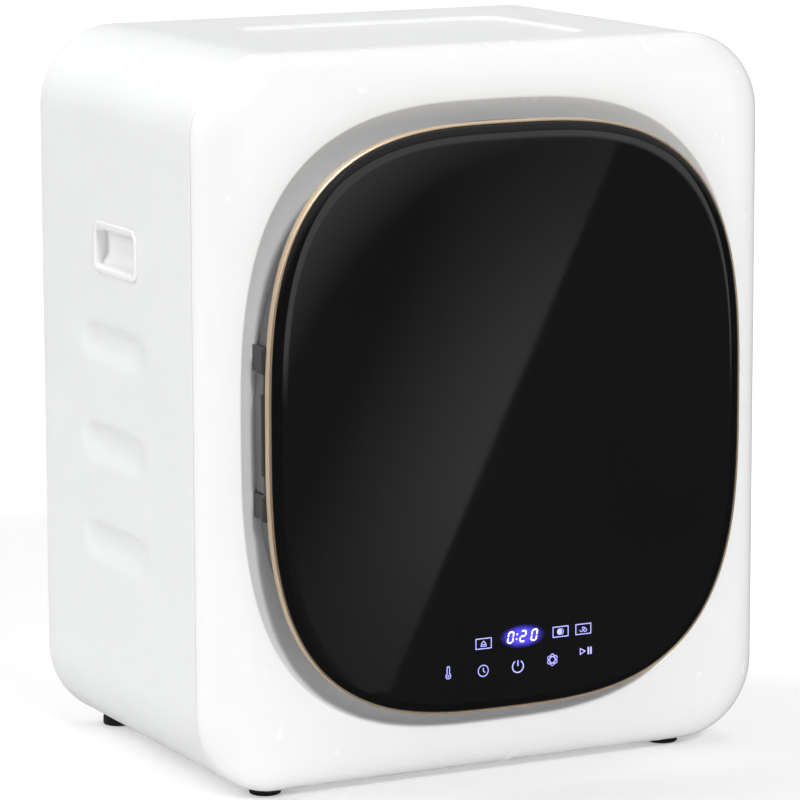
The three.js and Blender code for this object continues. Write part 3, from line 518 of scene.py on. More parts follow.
def dent_depth(y, z):
    """Scoops pressed into the side: a crisp brow at the top, fading out at the bottom and the ends."""
    depth = np.zeros_like(y)
    for height in DENT_HEIGHTS:
        down = (height + DENT_HALF_HEIGHT - z) / (2 * DENT_HALF_HEIGHT)
        inside = (down > 0) & (down < 1)
        t = np.clip(down, 0, 1)
        section = np.where(t < DENT_BROW, 1 - (1 - t / DENT_BROW).clip(0) ** 1.7,
                           1 - smooth_step((t - DENT_BROW) / (1 - DENT_BROW)))
        bow = np.sqrt(np.clip(DENT_HALF_HEIGHT ** 2 - (z - height) ** 2, 0, None))
        end = DENT_HALF_LENGTH - DENT_HALF_HEIGHT + bow - np.abs(y - DENT_Y)
        depth += np.where(inside, DENT_DEPTH * section * smooth_step(end / DENT_FADE), 0)
    return depth


def corner_distance(a, b, half_a, half_b, radius):
    """Distance inside a rounded rectangle's edge, negative outside."""
    qa = np.abs(a) - (half_a - radius)
    qb = np.abs(b) - (half_b - radius)
    outside = np.hypot(np.clip(qa, 0, None), np.clip(qb, 0, None))
    return radius - outside - np.minimum(np.maximum(qa, qb), 0)


def tray_depth(x, y):
    """The shallow tray sunk in the top."""
    inside = corner_distance(x, y - TRAY_CENTRE, *TRAY_HALF, TRAY_CORNER)
    return TRAY_DEPTH * smooth_step(inside / TRAY_EDGE)


def wrap_rings():
    """Offset and depth of each ring of the wrap: fine where the sides and top are pressed."""
    first = SEAM + 0.3 * MM
    start = first + 3 * MM
    rings = [(-1.0 * MM, first), (-0.3 * MM, first), (0, first + 0.7 * MM), (0, start)]
    low = TRAY_CENTRE - TRAY_HALF[1] - 6 * MM
    high = TRAY_CENTRE + TRAY_HALF[1] + 12 * MM
    rings += [(0, start + (low - start) * k / 4) for k in range(1, 4)]
    steps = round((high - low) / (2.2 * MM))
    rings += [(0, low + (high - low) * k / steps) for k in range(steps + 1)]
    edge = WRAP_REAR - REAR_ROUND
    rings += [(0, high + (edge - high) * k / 7) for k in range(1, 7)]
    rings += [(REAR_TUCK * (c - 1), edge + REAR_ROUND * s) for c, s in quarter(9)]
    rings += [(-15.5 * MM, WRAP_REAR), (-25 * MM, WRAP_REAR), (-26 * MM, WRAP_REAR - 0.3 * MM)]
    return rings


def cabinet_wrap():
    """One sheet round all four sides, with its dents, its tray and the holes for the handles."""
    outline = rounded_rectangle(HALF_WIDTH, HALF_HEIGHT, CORNER, corner=18, top=165, side=200, bottom=16)
    rings = []
    for offset, y in wrap_rings():
        ring = outline.ring(offset, y)
        x, z = ring[:, 0], ring[:, 2]
        flat_side = np.abs(outline.normals[:, 0]) > 0.999
        flat_top = outline.normals[:, 1] > 0.999
        press = np.where(flat_side, dent_depth(np.full_like(z, y), z), 0)
        press = press + np.where(flat_top, tray_depth(x, np.full_like(x, y)), 0)
        ring[:, 0] -= outline.normals[:, 0] * press
        ring[:, 2] -= outline.normals[:, 1] * press
        rings.append(ring)
    vertices, faces = loft(rings)
    middles = vertices[np.array(faces)].mean(axis=1)
    in_hole = np.abs(middles[:, 0]) > HALF_WIDTH - 5 * MM
    in_hole &= np.abs(middles[:, 1] - HANDLE_Y) < HANDLE_HALF[0] - HOLE_MARGIN[0]
    in_hole &= np.abs(middles[:, 2] - HANDLE_Z) < HANDLE_HALF[1] - HOLE_MARGIN[1]
    faces = [face for face, gone in zip(faces, in_hole) if not gone]
    piece("wrap_shell", (vertices, faces), "cabinet", PAINT, ["cabinet_wrap"],
          thickness=WRAP_THICKNESS)


# ---- Front panel ----

FACE_ROUND = (SEAM - FRONT, 36 * MM)
EDGE_ROUND = 2.5 * MM
MOUTH_ROUND = 3 * MM


def face_depth(x, z):
    """Depth of the panel's face: flat, with edges that fall back on a quarter ellipse."""
    deep, wide = FACE_ROUND
    inside = corner_distance(x, z - AXIS_Z, HALF_WIDTH, HALF_HEIGHT, CORNER)
    fall = np.clip((wide - inside) / wide, 0, 1)
    return FRONT + deep * (1 - np.sqrt(1 - fall ** 2))


def front_rim(body):
    """Rings from the seam out to the panel's full size and round its soft edge."""
    deep, wide = FACE_ROUND
    back = SEAM - 0.1 * MM
    rings = [body.ring(-2.5 * MM, back), body.ring(-1.0 * MM, back), body.ring(-0.3 * MM, back - 0.2 * MM)]
    rings += [body.ring(0, back - 0.9 * MM)]
    for c, s in quarter(10, 3, 62):
        last = -wide * (1 - c)
        rings.append(body.ring(last, SEAM - deep * s))
    return rings, body.ring(last, 0)


def dish(recess, rim, lip):
    """Rings over the recess's rounded rim and down a slope that eases to its flat floor."""
    rings = []
    for tilt in np.linspace(0, RECESS_TILT, 6)[1:]:
        inset = lip - EDGE_ROUND * math.sin(tilt)
        rings.append(recess.ring(inset, rim + EDGE_ROUND * (1 - math.cos(tilt))))
    easing = 1 - math.cos(RECESS_TILT)
    for tilt in np.linspace(RECESS_TILT, 0, 16)[1:]:
        inset = (RECESS_FLOOR - FRONT) * (math.sin(RECESS_TILT) - math.sin(tilt)) / easing
        depth = (math.cos(tilt) - math.cos(RECESS_TILT)) / easing
        rings.append(recess.ring(-inset, rim + (RECESS_FLOOR - rim) * depth))
    rings.append(recess.ring(-43 * MM, RECESS_FLOOR))
    return rings


def mouth_rings(mouth):
    """Rings over the recess's floor to the drum mouth and round its edge."""
    floor = RECESS_FLOOR
    rings = [mouth.ring(8 * MM, floor), mouth.ring(MOUTH_ROUND + 0.2 * MM, floor)]
    for c, s in quarter(5, 20, 90):
        rings.append(mouth.ring(MOUTH_ROUND * (1 - s), floor + MOUTH_ROUND * (1 - c)))
    rings += [mouth.ring(0, floor + 3.5 * MM), mouth.ring(0.2 * MM, floor + 4.5 * MM)]
    return rings


def front_panel():
    """A one-piece moulding: soft outer edges, a flat face, the door's recess and the drum mouth."""
    body = rounded_rectangle(HALF_WIDTH, HALF_HEIGHT, CORNER, corner=24, top=40, side=48, bottom=40)
    angles = body.angles()
    recess = square_oval(RECESS_HALF_WIDTH, RECESS_HALF_HEIGHT, RECESS_POWER, angles)
    rings, outer = front_rim(body)
    lip = EDGE_ROUND * math.tan(RECESS_TILT / 2)
    edge = recess.ring(lip, 0)
    for t in np.linspace(0, 1, 22)[1:]:
        ring = outer + (edge - outer) * t ** 1.15
        ring[:, 1] = face_depth(ring[:, 0], ring[:, 2])
        rings.append(ring)
    rings += dish(recess, face_depth(edge[:, 0], edge[:, 2]), lip)
    rings += mouth_rings(circle(MOUTH_RADIUS, angles))
    piece("front_moulding", loft(rings), "cabinet", WHITE, ["front_panel"])


# ---- Side handles and feet ----

def handle_pocket(z):
    """Depth of the pocket behind the skin: a sill that slopes back from the lower rim to a flat back."""
    up = (z - HANDLE_Z + HANDLE_HALF[1]) / (2 * HANDLE_HALF[1])
    return (3.5 + 4.5 * smooth_step((up - 0.12) / 0.3)) * MM


def handle_cup(side):
    """A cup moulded in one, with a raised rim: 1 for the right side and -1 for the left."""
    outline = rounded_rectangle(*HANDLE_HALF, 9 * MM, corner=8, top=24, side=12, bottom=24)
    proud = HANDLE_HIGH.x - HALF_WIDTH
    rim = [(0, 0.1 * MM), (0, proud * 0.45), (-0.25 * MM, proud * 0.8), (-0.9 * MM, proud)]
    rim += [(-3.2 * MM, proud), (-4.6 * MM, proud * 0.85), (-5.6 * MM, proud * 0.2), (-6.0 * MM, -1.5 * MM)]
    rings = []
    for offset, height in rim:
        flat = outline.points + outline.normals * offset
        rings.append(np.column_stack([np.full(len(flat), height), flat[:, 0], flat[:, 1]]))
    inner = outline.points + outline.normals * -6.2 * MM
    depths = handle_pocket(inner[:, 1] + HANDLE_Z)
    for t in (0.35, 0.7, 0.93):
        rings.append(np.column_stack([-1.5 * MM - (depths - 1.5 * MM) * t, inner[:, 0], inner[:, 1]]))
    for scale in (0.985, 0.93, *np.linspace(0.84, 0.14, 8), 0.05):
        flat = inner * scale
        rings.append(np.column_stack([-handle_pocket(flat[:, 1] + HANDLE_Z), flat[:, 0], flat[:, 1]]))
    vertices, faces = loft(rings, cap_end=True)
    placed = np.column_stack([
        side * (HALF_WIDTH + vertices[:, 0]), HANDLE_Y + vertices[:, 1], HANDLE_Z + vertices[:, 2]])
    name = "left" if side < 0 else "right"
    piece(name + "_handle", (placed, faces), "cabinet", WHITE, [name + "_handle_cup"],
          sharp=50)


FOOT_ROUND = 1.6 * MM


def foot(node):
    """A rubber pad with a rounded lower edge, carried up to meet the body where its underside curves."""
    low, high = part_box(node)
    x, y = (low.x + high.x) / 2, (low.y + high.y) / 2
    radius = (high.x - low.x) / 2
    top = high.z + 0.2 * MM
    flat = radius - FOOT_ROUND
    profile = [(2 * MM, 1.2 * MM), (4 * MM, 1.2 * MM), (4.6 * MM, 0), (flat, 0)]
    profile += [(flat + FOOT_ROUND * s, FOOT_ROUND * (1 - c)) for c, s in quarter(6, 15, 90)]
    profile += [(radius, 2.4 * MM), (radius - 0.25 * MM, top)]
    past = max(abs(x) + radius - (HALF_WIDTH - CORNER), 0)
    rise = CORNER - math.sqrt(max(CORNER ** 2 - past ** 2, 0))
    profile += [(radius - 0.8 * MM, top + rise)]
    piece(node + "_pad", upright(profile, x, y), "cabinet", RUBBER, [node])


# ---- Door ----

GLASS_ROUND = 12 * MM
GLASS_CURVE = 3.5 * MM
HINGE_LUG = 20 * MM
LUG_GAP = 0.8 * MM
CLOSE_GAP = 0.3 * MM


def door_glass():
    """The pane: flat, with an edge that falls back on a quarter ellipse."""
    back = GLASS_HIGH.y
    rings = [DOOR.ring(-2.0 * MM, back), DOOR.ring(-0.6 * MM, back)]
    rings += [DOOR.ring(-0.05 * MM, back - 0.5 * MM), DOOR.ring(0, back - 0.9 * MM)]
    for c, s in quarter(12):
        rings.append(DOOR.ring(-GLASS_ROUND * (1 - c), GLASS_FRONT + GLASS_CURVE * (1 - s)))
    rings += [DOOR.ring(-GLASS_ROUND - further * MM, GLASS_FRONT) for further in (0.6, 2, 6)]
    skin = loft(rings, cap_start=True, cap_end=True)
    piece("glass_pane", skin, "door", GLASS, ["door_glass"])


def door_trim():
    """A champagne band: a front lip with a groove round it, and fine lines along its side."""
    low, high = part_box("door_trim")
    front, back = low.y, high.y
    out = high.x - GLASS_HALF_WIDTH
    lip = [(0.15, 1.4), (0.15, 0.35), (0.4, 0.05), (0.75, 0), (0.95, 0.25), (1.0, 0.6)]
    lip += [(1.2, 0.6), (1.28, 0.3), (1.45, 0.15), (1.75, 0.3), (1.95, 0.8)]
    section = [(offset * MM, front + y * MM) for offset, y in lip]
    line = 0.35 * MM
    for start in (2.4, 4.1, 5.8):
        y = front + start * MM
        section += [(out, y), (out - line, y + 0.1 * MM), (out - line, y + 0.4 * MM), (out, y + 0.5 * MM)]
    section += [(out, back - 0.5 * MM), (out - 0.4 * MM, back), (0.3 * MM, back)]
    rings = [DOOR.ring(offset, y) for offset, y in section]
    piece("trim_band", loft(rings, closed=True), "door", GOLD, ["door_trim"], sharp=25)


def hinge_slots():
    """Room in the shell's edge for the hinge's pin and leaf, and for its lugs, which run out at the back."""
    pin_low, pin_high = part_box("hinge_pin")
    leaf_low, leaf_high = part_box("hinge_leaf")
    x, y = (pin_low.x + pin_high.x) / 2, (pin_low.y + pin_high.y) / 2
    bore = (pin_high.x - pin_low.x) / 2 + CLOSE_GAP
    knuckle = (leaf_high.y - leaf_low.y) / 2
    out = x - 5 * MM
    slots = [block((out, y - bore, pin_low.z), (x + bore, y + bore, pin_high.z))]
    slots.append(block((out, leaf_low.y - CLOSE_GAP, leaf_low.z - CLOSE_GAP),
                       (leaf_high.x + CLOSE_GAP, leaf_high.y + CLOSE_GAP, leaf_high.z + CLOSE_GAP)))
    for low in (pin_low.z, pin_high.z - HINGE_LUG):
        slots.append(block((out, y - knuckle - LUG_GAP, low - LUG_GAP),
                           (x + knuckle + LUG_GAP, SHELL_BACK + MM, low + HINGE_LUG + LUG_GAP)))
    return slots


def prism(outline, low, high):
    """An upright solid over an outline of (x, y) points."""
    rings = [np.array([(x, y, z) for x, y in outline]) for z in (low, high)]
    return loft(rings, cap_start=True, cap_end=True)


def hinge_bracket():
    """Dark knuckles on arms of a grey darkened as painted shade, which run back through the shell and along
    the floor of the recess.
    """
    pin_low, pin_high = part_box("hinge_pin")
    plate_low, plate_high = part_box("hinge_bracket")
    x, y = (pin_low.x + pin_high.x) / 2, (pin_low.y + pin_high.y) / 2
    back, end = plate_high.y, plate_high.x
    web = (x + 0.4 * MM, x + 2.8 * MM)
    foot_front, foot_back = back - 3.1 * MM, back - 0.9 * MM
    arm = [(web[1], y), (web[1], foot_front), (end, foot_front), (end, foot_back), (x + 11.5 * MM, foot_back)]
    arm += [(x + 4 * MM, back - 1.6 * MM), (web[0], back - 3.4 * MM), (web[0], y)]
    radius, bevel = 2.9 * MM, 0.8 * MM
    knuckles, arms = [], []
    for low in (pin_low.z, pin_high.z - HINGE_LUG):
        high = low + HINGE_LUG
        ends = [(radius - bevel, low), (radius, low + bevel), (radius, high - bevel), (radius - bevel, high)]
        knuckles.append(upright(ends, x, y, count=24))
        arms.append(prism(arm, low + CLOSE_GAP, high - CLOSE_GAP))
    arms.append(block((end - 15 * MM, back - 2.2 * MM, plate_low.z), (end, back, plate_high.z)))
    piece("hinge_arms", merged(*arms), "cabinet", SHADED_ARM, ["hinge_bracket"])
    piece("hinge_knuckles", merged(*knuckles), "cabinet", DARK)


def door_shell():
    """A grey shell, rounder than the glass it carries, with a groove round it and a hole for the window."""
    front, back = SHELL_FRONT, SHELL_BACK
    wall, groove = 8 * MM, 0.9 * MM
    rings = [SHELL.ring(-wall, back - 3 * MM), SHELL.ring(-wall, front), SHELL.ring(-0.6 * MM, front)]
    rings += [SHELL.ring(-0.1 * MM, front + 0.5 * MM), SHELL.ring(-0.1 * MM, front + 8.2 * MM)]
    rings += [SHELL.ring(-groove, front + 9.2 * MM), SHELL.ring(-groove, front + 10.4 * MM)]
    side = 0.15 * MM
    rings += [SHELL.ring(-side, front + 11.4 * MM)]
    for c, s in quarter(9):
        rings.append(SHELL.ring(-side - 7 * MM * (1 - c), back - 8 * MM * (1 - s)))
    hole = circle(WINDOW_HOLE, turn(DOOR_STEPS))
    rings += [SHELL.ring(-9 * MM, back), hole.ring(12 * MM, back), hole.ring(9 * MM, back)]
    rings += [hole.ring(8.4 * MM, back - 1.2 * MM), hole.ring(1.5 * MM, back - 1.2 * MM)]
    rings += [hole.ring(0, back - 1.6 * MM), hole.ring(0, back - 3 * MM)]
    piece("door_back_shell", loft(rings, closed=True), "door", GREY, ["door_shell"],
          cuts=hinge_slots())


def door_window():
    """A clear bowl that reaches into the drum mouth, with a flange inside the shell."""
    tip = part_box("door_window")[1].y
    flange = SHELL_BACK - 3.3 * MM
    near = [(0.2, 3), (60, 3.2), (108, 4.6), (120, 8.5), (139, 20)]
    far = [(142.4, 17), (124, 5.4), (110, 1.4), (60, 0.2), (0.2, 0)]
    profile = [(radius * MM, tip - depth * MM) for radius, depth in near]
    profile += [(143 * MM, flange - 2.5 * MM), (156 * MM, flange - 2.5 * MM), (156 * MM, flange)]
    profile += [(WINDOW_HOLE - 0.5 * MM, flange)]
    profile += [(radius * MM, tip - depth * MM) for radius, depth in far]
    skin = lathe(profile, count=96, caps=(True, True))
    piece("window_bowl", skin, "door", CLEAR, ["door_window"])


def door_gasket():
    """A rubber ring whose lip meets the recess's floor round the drum mouth."""
    low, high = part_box("door_gasket")
    inner, outer = 157 * MM, high.x
    front, back = low.y, high.y
    middle = (front + back) / 2
    profile = [(inner, front), (outer, front), (outer, middle), (outer - 2 * MM, middle + 0.3 * MM)]
    profile += [(outer - 4 * MM, back), (outer - 6 * MM, middle + 0.2 * MM)]
    profile += [(inner + 2 * MM, back - 0.3 * MM), (inner, middle)]
    skin = lathe(profile, count=120, closed=True)
    piece("mouth_seal", skin, "door", SEAL, ["door_gasket"])


# ---- Touch display ----

INK_Y = GLASS_FRONT - 0.12 * MM
INK_WIDTH = 0.7
FRAME_HALF = (6.7, 4.0)


def flat_ink(points, y=INK_Y):
    """Vertices of (x, z) points in millimetres on an upright plane."""
    return np.array([(x * MM, y, z * MM) for x, z in points])


def stroke(points, width=INK_WIDTH, closed=False):
    """A flat ribbon along a line of (x, z) points in millimetres, with mitred corners."""
    line = np.array(points, float)
    count = len(line)
    left, right = [], []
    for i in range(count):
        ahead = line[(i + 1) % count] - line[i]
        behind = line[i] - line[i - 1]
        if not closed and i == 0:
            behind = ahead
        if not closed and i == count - 1:
            ahead = behind
        ahead = ahead / np.linalg.norm(ahead)
        behind = behind / np.linalg.norm(behind)
        way = (ahead + behind) / np.linalg.norm(ahead + behind)
        side = np.array([-way[1], way[0]])
        half = width / 2 / max(0.4, float(way @ ahead))
        left.append(line[i] + side * half)
        right.append(line[i] - side * half)
    faces = []
    for i in range(count if closed else count - 1):
        k = (i + 1) % count
        faces.append((i, k, count + k, count + i))
    return flat_ink(left + right), faces


def patch(points, y=INK_Y):
    """A flat filled outline of (x, z) points in millimetres."""
    return flat_ink(points, y), [tuple(range(len(points)))]


def arc(x, z, radius, start, end, steps=20):
    """Points along an arc between two angles in degrees."""
    angles = np.radians(np.linspace(start, end, steps))
    return [(x + radius * math.cos(a), z + radius * math.sin(a)) for a in angles]


def oval(x, z, long, short, tilt=0.0, steps=28):
    """An ellipse, its long radius turned by tilt degrees."""
    c, s = math.cos(math.radians(tilt)), math.sin(math.radians(tilt))
    points = []
    for angle in turn(steps):
        a, b = long * math.cos(angle), short * math.sin(angle)
        points.append((x + a * c - b * s, z + a * s + b * c))
    return points


def frame_icon(x, z):
    w, h = FRAME_HALF
    return stroke([(x - w, z - h), (x + w, z - h), (x + w, z + h), (x - w, z + h)], closed=True)


def thermometer_icon(x, z):
    bulb = z - 2.6
    glass = arc(x, bulb, 2.1, 120, 420, 18) + arc(x, z + 3.9, 1.1, 0, 180, 8)
    return [stroke(glass, closed=True), patch(oval(x, bulb, 0.8, 0.8))]


def clock_icon(x, z):
    return [stroke(oval(x, z, 4.4, 4.4), closed=True), stroke([(x, z + 2.4), (x, z), (x + 1.8, z - 1.6)])]


def power_icon(x, z):
    return [stroke(arc(x, z, 4.8, 122, 418, 30), 0.95), stroke([(x, z + 4.9), (x, z + 0.3)], 0.95)]


def rosette_icon(x, z):
    return [stroke(oval(x, z, 4.7, 2.3, 30 + 60 * i), 0.6, closed=True) for i in range(3)]


def play_icon(x, z):
    skins = [stroke([(x - 5.6, z - 2.3), (x - 1.2, z), (x - 5.6, z + 2.3)], closed=True)]
    return skins + [stroke([(bar, z - 2.9), (bar, z + 2.9)], 1.4) for bar in (x + 1.7, x + 4.0)]


def iron_icon(x, z):
    shape = [(-2.3, -2.0), (2.3, -2.0), (1.9, 0.1), (0, 2.0), (-1.9, 0.1)]
    outline = [(x + a, z + b) for a, b in shape]
    bar = [(x - 1.3, z - 0.6), (x + 1.3, z - 0.6)]
    return [frame_icon(x, z), stroke(outline, 0.6, closed=True), stroke(bar, 0.6)]


def dial_icon(x, z):
    disc = patch(oval(x - 0.9, z, 2.3, 2.5))
    return [frame_icon(x, z), disc, stroke(arc(x - 0.2, z, 2.7, -70, 70, 12), 0.55)]


def leaf_icon(x, z):
    leaf = arc(x - 0.6, z - 2.6, 4.0, 20, 88, 8) + arc(x + 3.2, z + 1.4, 4.0, 178, 250, 8)
    stalk = [(x - 3.6, z - 0.6), (x - 1.6, z - 2.2), (x + 2.0, z + 0.8)]
    return [frame_icon(x, z), stroke(leaf, 0.55, closed=True), stroke(stalk, 0.55)]


DIGIT_SEGMENTS = {"0": "abcdef", "2": "abged"}
DIGIT_HALF = (2.2, 4.15)
DIGIT_LEAN = 0.17


def digit(text, x, z):
    """A seven-segment digit of slanted bars."""
    w, h = DIGIT_HALF
    gap, bar = 0.2, 0.62
    lines = {
        "a": ((-w, h), (w, h)),
        "b": ((w, h), (w, 0)),
        "c": ((w, 0), (w, -h)),
        "d": ((-w, -h), (w, -h)),
        "e": ((-w, 0), (-w, -h)),
        "f": ((-w, h), (-w, 0)),
        "g": ((-w, 0), (w, 0)),
    }
    skins = []
    for key in DIGIT_SEGMENTS[text]:
        start, end = np.array(lines[key][0]), np.array(lines[key][1])
        way = (end - start) / np.linalg.norm(end - start)
        side = np.array([-way[1], way[0]]) * bar
        a, b = start + way * gap, end - way * gap
        inner_a, inner_b = a + way * bar, b - way * bar
        outline = [a, inner_a + side, inner_b + side, b, inner_b - side, inner_a - side]
        skins.append(patch([(x + p[0] + DIGIT_LEAN * p[1], z + p[1]) for p in outline]))
    return skins


ICON_PITCH = 30.5
ICON_CENTRE = 4.9
ICON_ARC = 510
LOW_ROW = AXIS_Z / MM - 196.5
HIGH_ROW = AXIS_Z / MM - 172.5
DISPLAY_X = 8.8
DIGIT_SHIFTS = (-10.3, 0.6, 10.5)
GLOW_HALF = (22.0, 10.5)


def icon_row(x):
    """Height of the lower icons, which lie on a shallow arc above the rim of the glass."""
    return LOW_ROW + (x + 13) ** 2 / (2 * ICON_ARC)


def display_glow():
    """Light spilling round the digits under the glass."""
    half_width, half_height = GLOW_HALF
    finish = Finish("display_glow", (0.1, 0.08, 0.7), 0.5, Specular_IOR_Level=0, Emission_Strength=1.0)
    away = finish.centred((DISPLAY_X * MM, 0, HIGH_ROW * MM), (half_width * MM, 0, half_height * MM))
    fade = finish.ranged(away, (0.3, 1.0), (0.62, 0), "SMOOTHERSTEP")
    finish.links.new(fade, finish.shader.inputs["Alpha"])
    finish.shader.inputs["Emission Color"].default_value = (0.075, 0.055, 0.95, 1)
    skin = patch(oval(DISPLAY_X, HIGH_ROW, half_width, half_height, steps=48), GLASS_FRONT - 0.06 * MM)
    piece("display_halo", skin, "door", finish.material, outward=False)


def touch_icons():
    """A row of five icons, and three framed ones beside the digits."""
    makers = [thermometer_icon, clock_icon, power_icon, rosette_icon, play_icon]
    row = [ICON_CENTRE + ICON_PITCH * (i - 2) for i in range(len(makers))]
    icons = [make(x, icon_row(x)) for make, x in zip(makers, row)]
    icons += [iron_icon(-25.3, HIGH_ROW - 2.3), dial_icon(42.7, HIGH_ROW), leaf_icon(63.0, HIGH_ROW)]
    skin = merged(*[part for icon in icons for part in icon])
    ink = light_up((0.36, 0.36, 0.95), 0.85)
    piece("touch_icons", skin, "door", ink, outward=False)


def display_digits():
    """A time: one digit, a colon and two digits."""
    figures = []
    for text, shift in zip("020", DIGIT_SHIFTS):
        figures += digit(text, DISPLAY_X + shift, HIGH_ROW)
    for rise in (-1.9, 1.9):
        x = DISPLAY_X - 4.8 + DIGIT_LEAN * rise
        figures.append(patch(oval(x, HIGH_ROW + rise, 0.7, 0.7, steps=12)))
    bright = light_up((0.72, 0.72, 1.0), 1.5)
    piece("display_digits", merged(*figures), "door", bright, outward=False)


# ---- Stage ----

SUNS = {
    "front_key": ((-0.06, -0.85, 0.52), 1.66, 10),
    "left_fill": ((-0.68, 0.45, 0.58), 1.75, 40),
    "top_fill": ((0, 0, 1), 1.15, 60),
}
WORLD_STRENGTH = 0.16
FLOOR_HALF = 12.0


def sun(name, toward, strength, angle):
    """A soft sun shining from the given direction."""
    data = bpy.data.lights.new(name, "SUN")
    data.energy = strength
    data.angle = math.radians(angle)
    made = bpy.data.objects.new(name, data)
    bpy.context.scene.collection.objects.link(made)
    made.rotation_euler = Vector(toward).to_track_quat("Z", "Y").to_euler()


def studio_world():
    """Even white light from all round."""
    world = bpy.data.worlds.new("studio")
    bpy.context.scene.world = world
    world.use_nodes = True
    background = world.node_tree.nodes["Background"]
    background.inputs["Color"].default_value = (1, 1, 1, 1)
    background.inputs["Strength"].default_value = WORLD_STRENGTH


def studio_thing(name, vertices, faces, material):
    """Part of the stage, which isn't part of the dryer."""
    mesh = bpy.data.meshes.new(name)
    mesh.from_pydata([tuple(v) for v in vertices], [], faces)
    mesh.materials.append(material)
    thing = bpy.data.objects.new(name, mesh)
    bpy.context.scene.collection.objects.link(thing)
    return thing


def studio_sheet(name, half_width, half_height, material):
    """A flat rectangle about the origin, facing up."""
    w, h = half_width, half_height
    return studio_thing(name, [(-w, -h, 0), (w, -h, 0), (w, h, 0), (-w, h, 0)], [(0, 1, 2, 3)], material)


def studio_floor():
    """Pale paper that glows a little, so that it fades into the background."""
    paper = Finish("floor_paper", (0.8, 0.8, 0.8), 0.8, Emission_Color=(1, 1, 1, 1), Emission_Strength=0.25)
    paper.tint((0.81, 0.81, 0.81), 2)
    floor = studio_sheet("studio_floor", FLOOR_HALF, FLOOR_HALF, paper.material)
    floor.visible_glossy = False


CARD_PLACE = Vector((0.595, -1.318, 0.063))
CARD_FACING = Vector((-0.466, 0.867, 0.176))
CARD_HALF = (0.55, 0.65)
CARD_EDGE = math.radians(67.4)
CARD_BAND = [(0.0, 0), (0.24, 0), (0.33, 0.2), (0.42, 0.42), (0.503, 0.58), (0.506, 0), (1.0, 0)]
CARD_BASE = 0.085
DOME_RADIUS = 3.4
DOME_LEVELS = [(0.0, 0.03), (0.15, 0.03), (0.38, 0.5), (0.75, 0.6), (1.0, 1.2)]


def set_stops(ramp, stops):
    """Grey levels at positions along a colour ramp."""
    for position, _ in stops[1:-1]:
        ramp.elements.new(position)
    for element, (position, value) in zip(ramp.elements, stops):
        element.position = position
        element.color = (value, value, value, 1)


def reflections_only(thing):
    thing.visible_camera = False
    thing.visible_diffuse = False
    thing.visible_transmission = False
    thing.visible_shadow = False


def card_levels(finish):
    """Brightness over the card: a band that fades left of a slanting edge, and a glow round the top."""
    nodes, links = finish.nodes, finish.links
    across = nodes.new("ShaderNodeMapping")
    across.inputs["Rotation"].default_value = (0, 0, math.pi / 2 - CARD_EDGE)
    links.new(finish.place, across.inputs["Vector"])
    turned = nodes.new("ShaderNodeSeparateXYZ")
    links.new(across.outputs["Vector"], turned.inputs["Vector"])
    level = nodes.new("ShaderNodeSeparateXYZ")
    links.new(finish.place, level.inputs["Vector"])
    ramp = nodes.new("ShaderNodeValToRGB")
    set_stops(ramp.color_ramp, CARD_BAND)
    links.new(finish.ranged(turned.outputs["X"], (-0.3, 0.3), (0, 1)), ramp.inputs["Fac"])
    height = finish.sums("ABSOLUTE", level.outputs["Y"])
    bell = finish.ranged(height, (0.03, 0.32), (1, 0.3), "SMOOTHSTEP")
    band = finish.sums("MULTIPLY", ramp.outputs["Color"], bell)
    glow = finish.ranged(finish.centred((0.1, -0.15, 0), (0.36, 0.45, 0)), (0.99, 1.24), (0, 1))
    high = finish.ranged(level.outputs["Y"], (0, 0.1), (0, 1), "SMOOTHSTEP")
    top = finish.sums("MULTIPLY", glow, high)
    return finish.sums("ADD", finish.sums("ADD", band, top), CARD_BASE)


def studio_card():
    """A large dark card mirrored in the door glass."""
    finish = Finish("card_paper", (0, 0, 0), 1.0, Specular_IOR_Level=0, Emission_Strength=1.0)
    finish.links.new(card_levels(finish), finish.shader.inputs["Emission Color"])
    card = studio_sheet("studio_card", *CARD_HALF, finish.material)
    right = CARD_FACING.cross(Vector((0, 0, 1))).normalized()
    up = right.cross(CARD_FACING).normalized()
    axes = Matrix((right, up, right.cross(up))).transposed()
    card.matrix_world = Matrix.Translation(CARD_PLACE) @ axes.to_4x4()
    reflections_only(card)


def studio_dome():
    """Dark walls and a pale ceiling all round, which only show in reflections."""
    profile = []
    for angle in np.radians(np.linspace(-20, 90, 23)):
        profile.append((max(DOME_RADIUS * math.cos(angle), 0.01), DOME_RADIUS * math.sin(angle)))
    vertices, faces = upright(profile, 0, 0)
    finish = Finish("dome_cloth", (0, 0, 0), 1.0, Specular_IOR_Level=0, Emission_Strength=1.0)
    height = finish.nodes.new("ShaderNodeSeparateXYZ")
    finish.links.new(finish.place, height.inputs["Vector"])
    ramp = finish.nodes.new("ShaderNodeValToRGB")
    set_stops(ramp.color_ramp, DOME_LEVELS)
    finish.links.new(finish.ranged(height.outputs["Z"], (0, DOME_RADIUS), (0, 1)), ramp.inputs["Fac"])
    finish.links.new(ramp.outputs["Color"], finish.shader.inputs["Emission Color"])
    reflections_only(studio_thing("studio_dome", vertices, faces, finish.material))


CAMERA_YAW = math.radians(-26.98)
CAMERA_PITCH = math.radians(9.868)
CAMERA_ROLL = math.radians(-0.184)
CAMERA_PLACE = Vector((-1.6089, -3.1607, 0.8938))
CAMERA_LENS = 200.8
CAMERA_SENSOR = 36


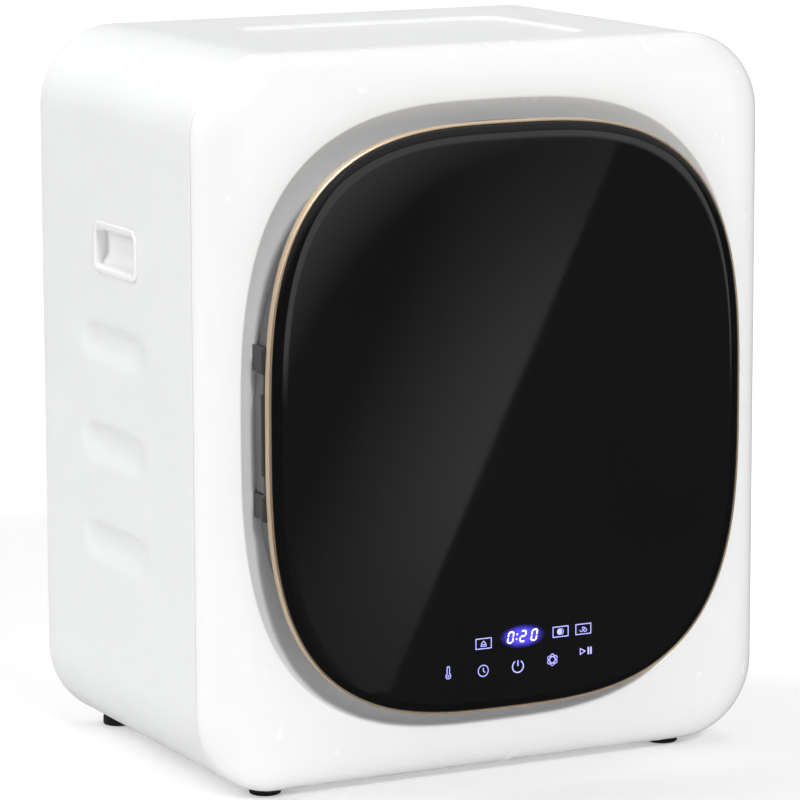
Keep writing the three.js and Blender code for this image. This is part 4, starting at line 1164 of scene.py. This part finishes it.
def camera():
    """A long lens from the front left, a little above the dryer."""
    data = bpy.data.cameras.new("camera")
    data.lens = CAMERA_LENS
    data.sensor_width = CAMERA_SENSOR
    data.clip_start = 0.05
    made = bpy.data.objects.new("camera", data)
    bpy.context.scene.collection.objects.link(made)
    back = Vector((math.sin(CAMERA_YAW) * math.cos(CAMERA_PITCH),
                   -math.cos(CAMERA_YAW) * math.cos(CAMERA_PITCH), math.sin(CAMERA_PITCH)))
    right = (-back).cross(Vector((0, 0, 1))).normalized()
    up = right.cross(-back)
    tilted_right = math.cos(CAMERA_ROLL) * right + math.sin(CAMERA_ROLL) * up
    tilted_up = math.cos(CAMERA_ROLL) * up - math.sin(CAMERA_ROLL) * right
    axes = Matrix((tilted_right, tilted_up, back)).transposed()
    made.matrix_world = Matrix.Translation(CAMERA_PLACE) @ axes.to_4x4()
    bpy.context.scene.camera = made


def studio():
    """The room, its lights and the camera."""
    bpy.context.scene.view_settings.view_transform = "Standard"
    studio_world()
    studio_floor()
    studio_card()
    studio_dome()
    for name, settings in SUNS.items():
        sun(name, *settings)
    camera()


# ---- CAD nodes that stay, with their real finish ----

KEPT = {
    PAINT: "rear_panel",
    WHITE: "lint_filter fan_wheel door_switch_plunger",
    VENT: "intake_grille exhaust_collar",
    GREY: "fan_scroll",
    DARK: "cord_gland hinge_leaf door_switch fan_pulley thermal_cutout fan_drive_pulley idler_pulley",
    RUBBER: "drum_belt fan_belt",
    STEEL: "drum_shell drum_front_ring drum_back lifter_1 lifter_2 lifter_3 strike_plate drum_shaft "
           "motor_shaft",
    # The pin takes the arms' grey, darkened as painted shade.
    SHADED_ARM: "hinge_pin",
    ZINC: "front_bulkhead rear_bulkhead drum_bearing drum_hub motor_bracket idler_arm tension_spring "
          "heater_duct door_magnet rear_screw_1 rear_screw_2 rear_screw_3 rear_screw_4",
    ALUMINIUM: "motor_housing run_capacitor heater_element drum_drive_pulley",
    FELT: "front_felt_seal",
    BOARD: "power_board touch_board",
}


def dress_kept_nodes():
    """Gives each remaining CAD node its material."""
    for material, names in KEPT.items():
        for name in names.split():
            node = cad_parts[name]
            node.data.materials.clear()
            node.data.materials.append(material)


cabinet_wrap()
front_panel()
for direction in (-1, 1):
    handle_cup(direction)
for corner_name in ("front_left", "front_right", "rear_left", "rear_right"):
    foot("foot_" + corner_name)
door_glass()
door_trim()
hinge_bracket()
door_shell()
door_window()
door_gasket()
touch_icons()
display_digits()
display_glow()
dress_kept_nodes()
studio()
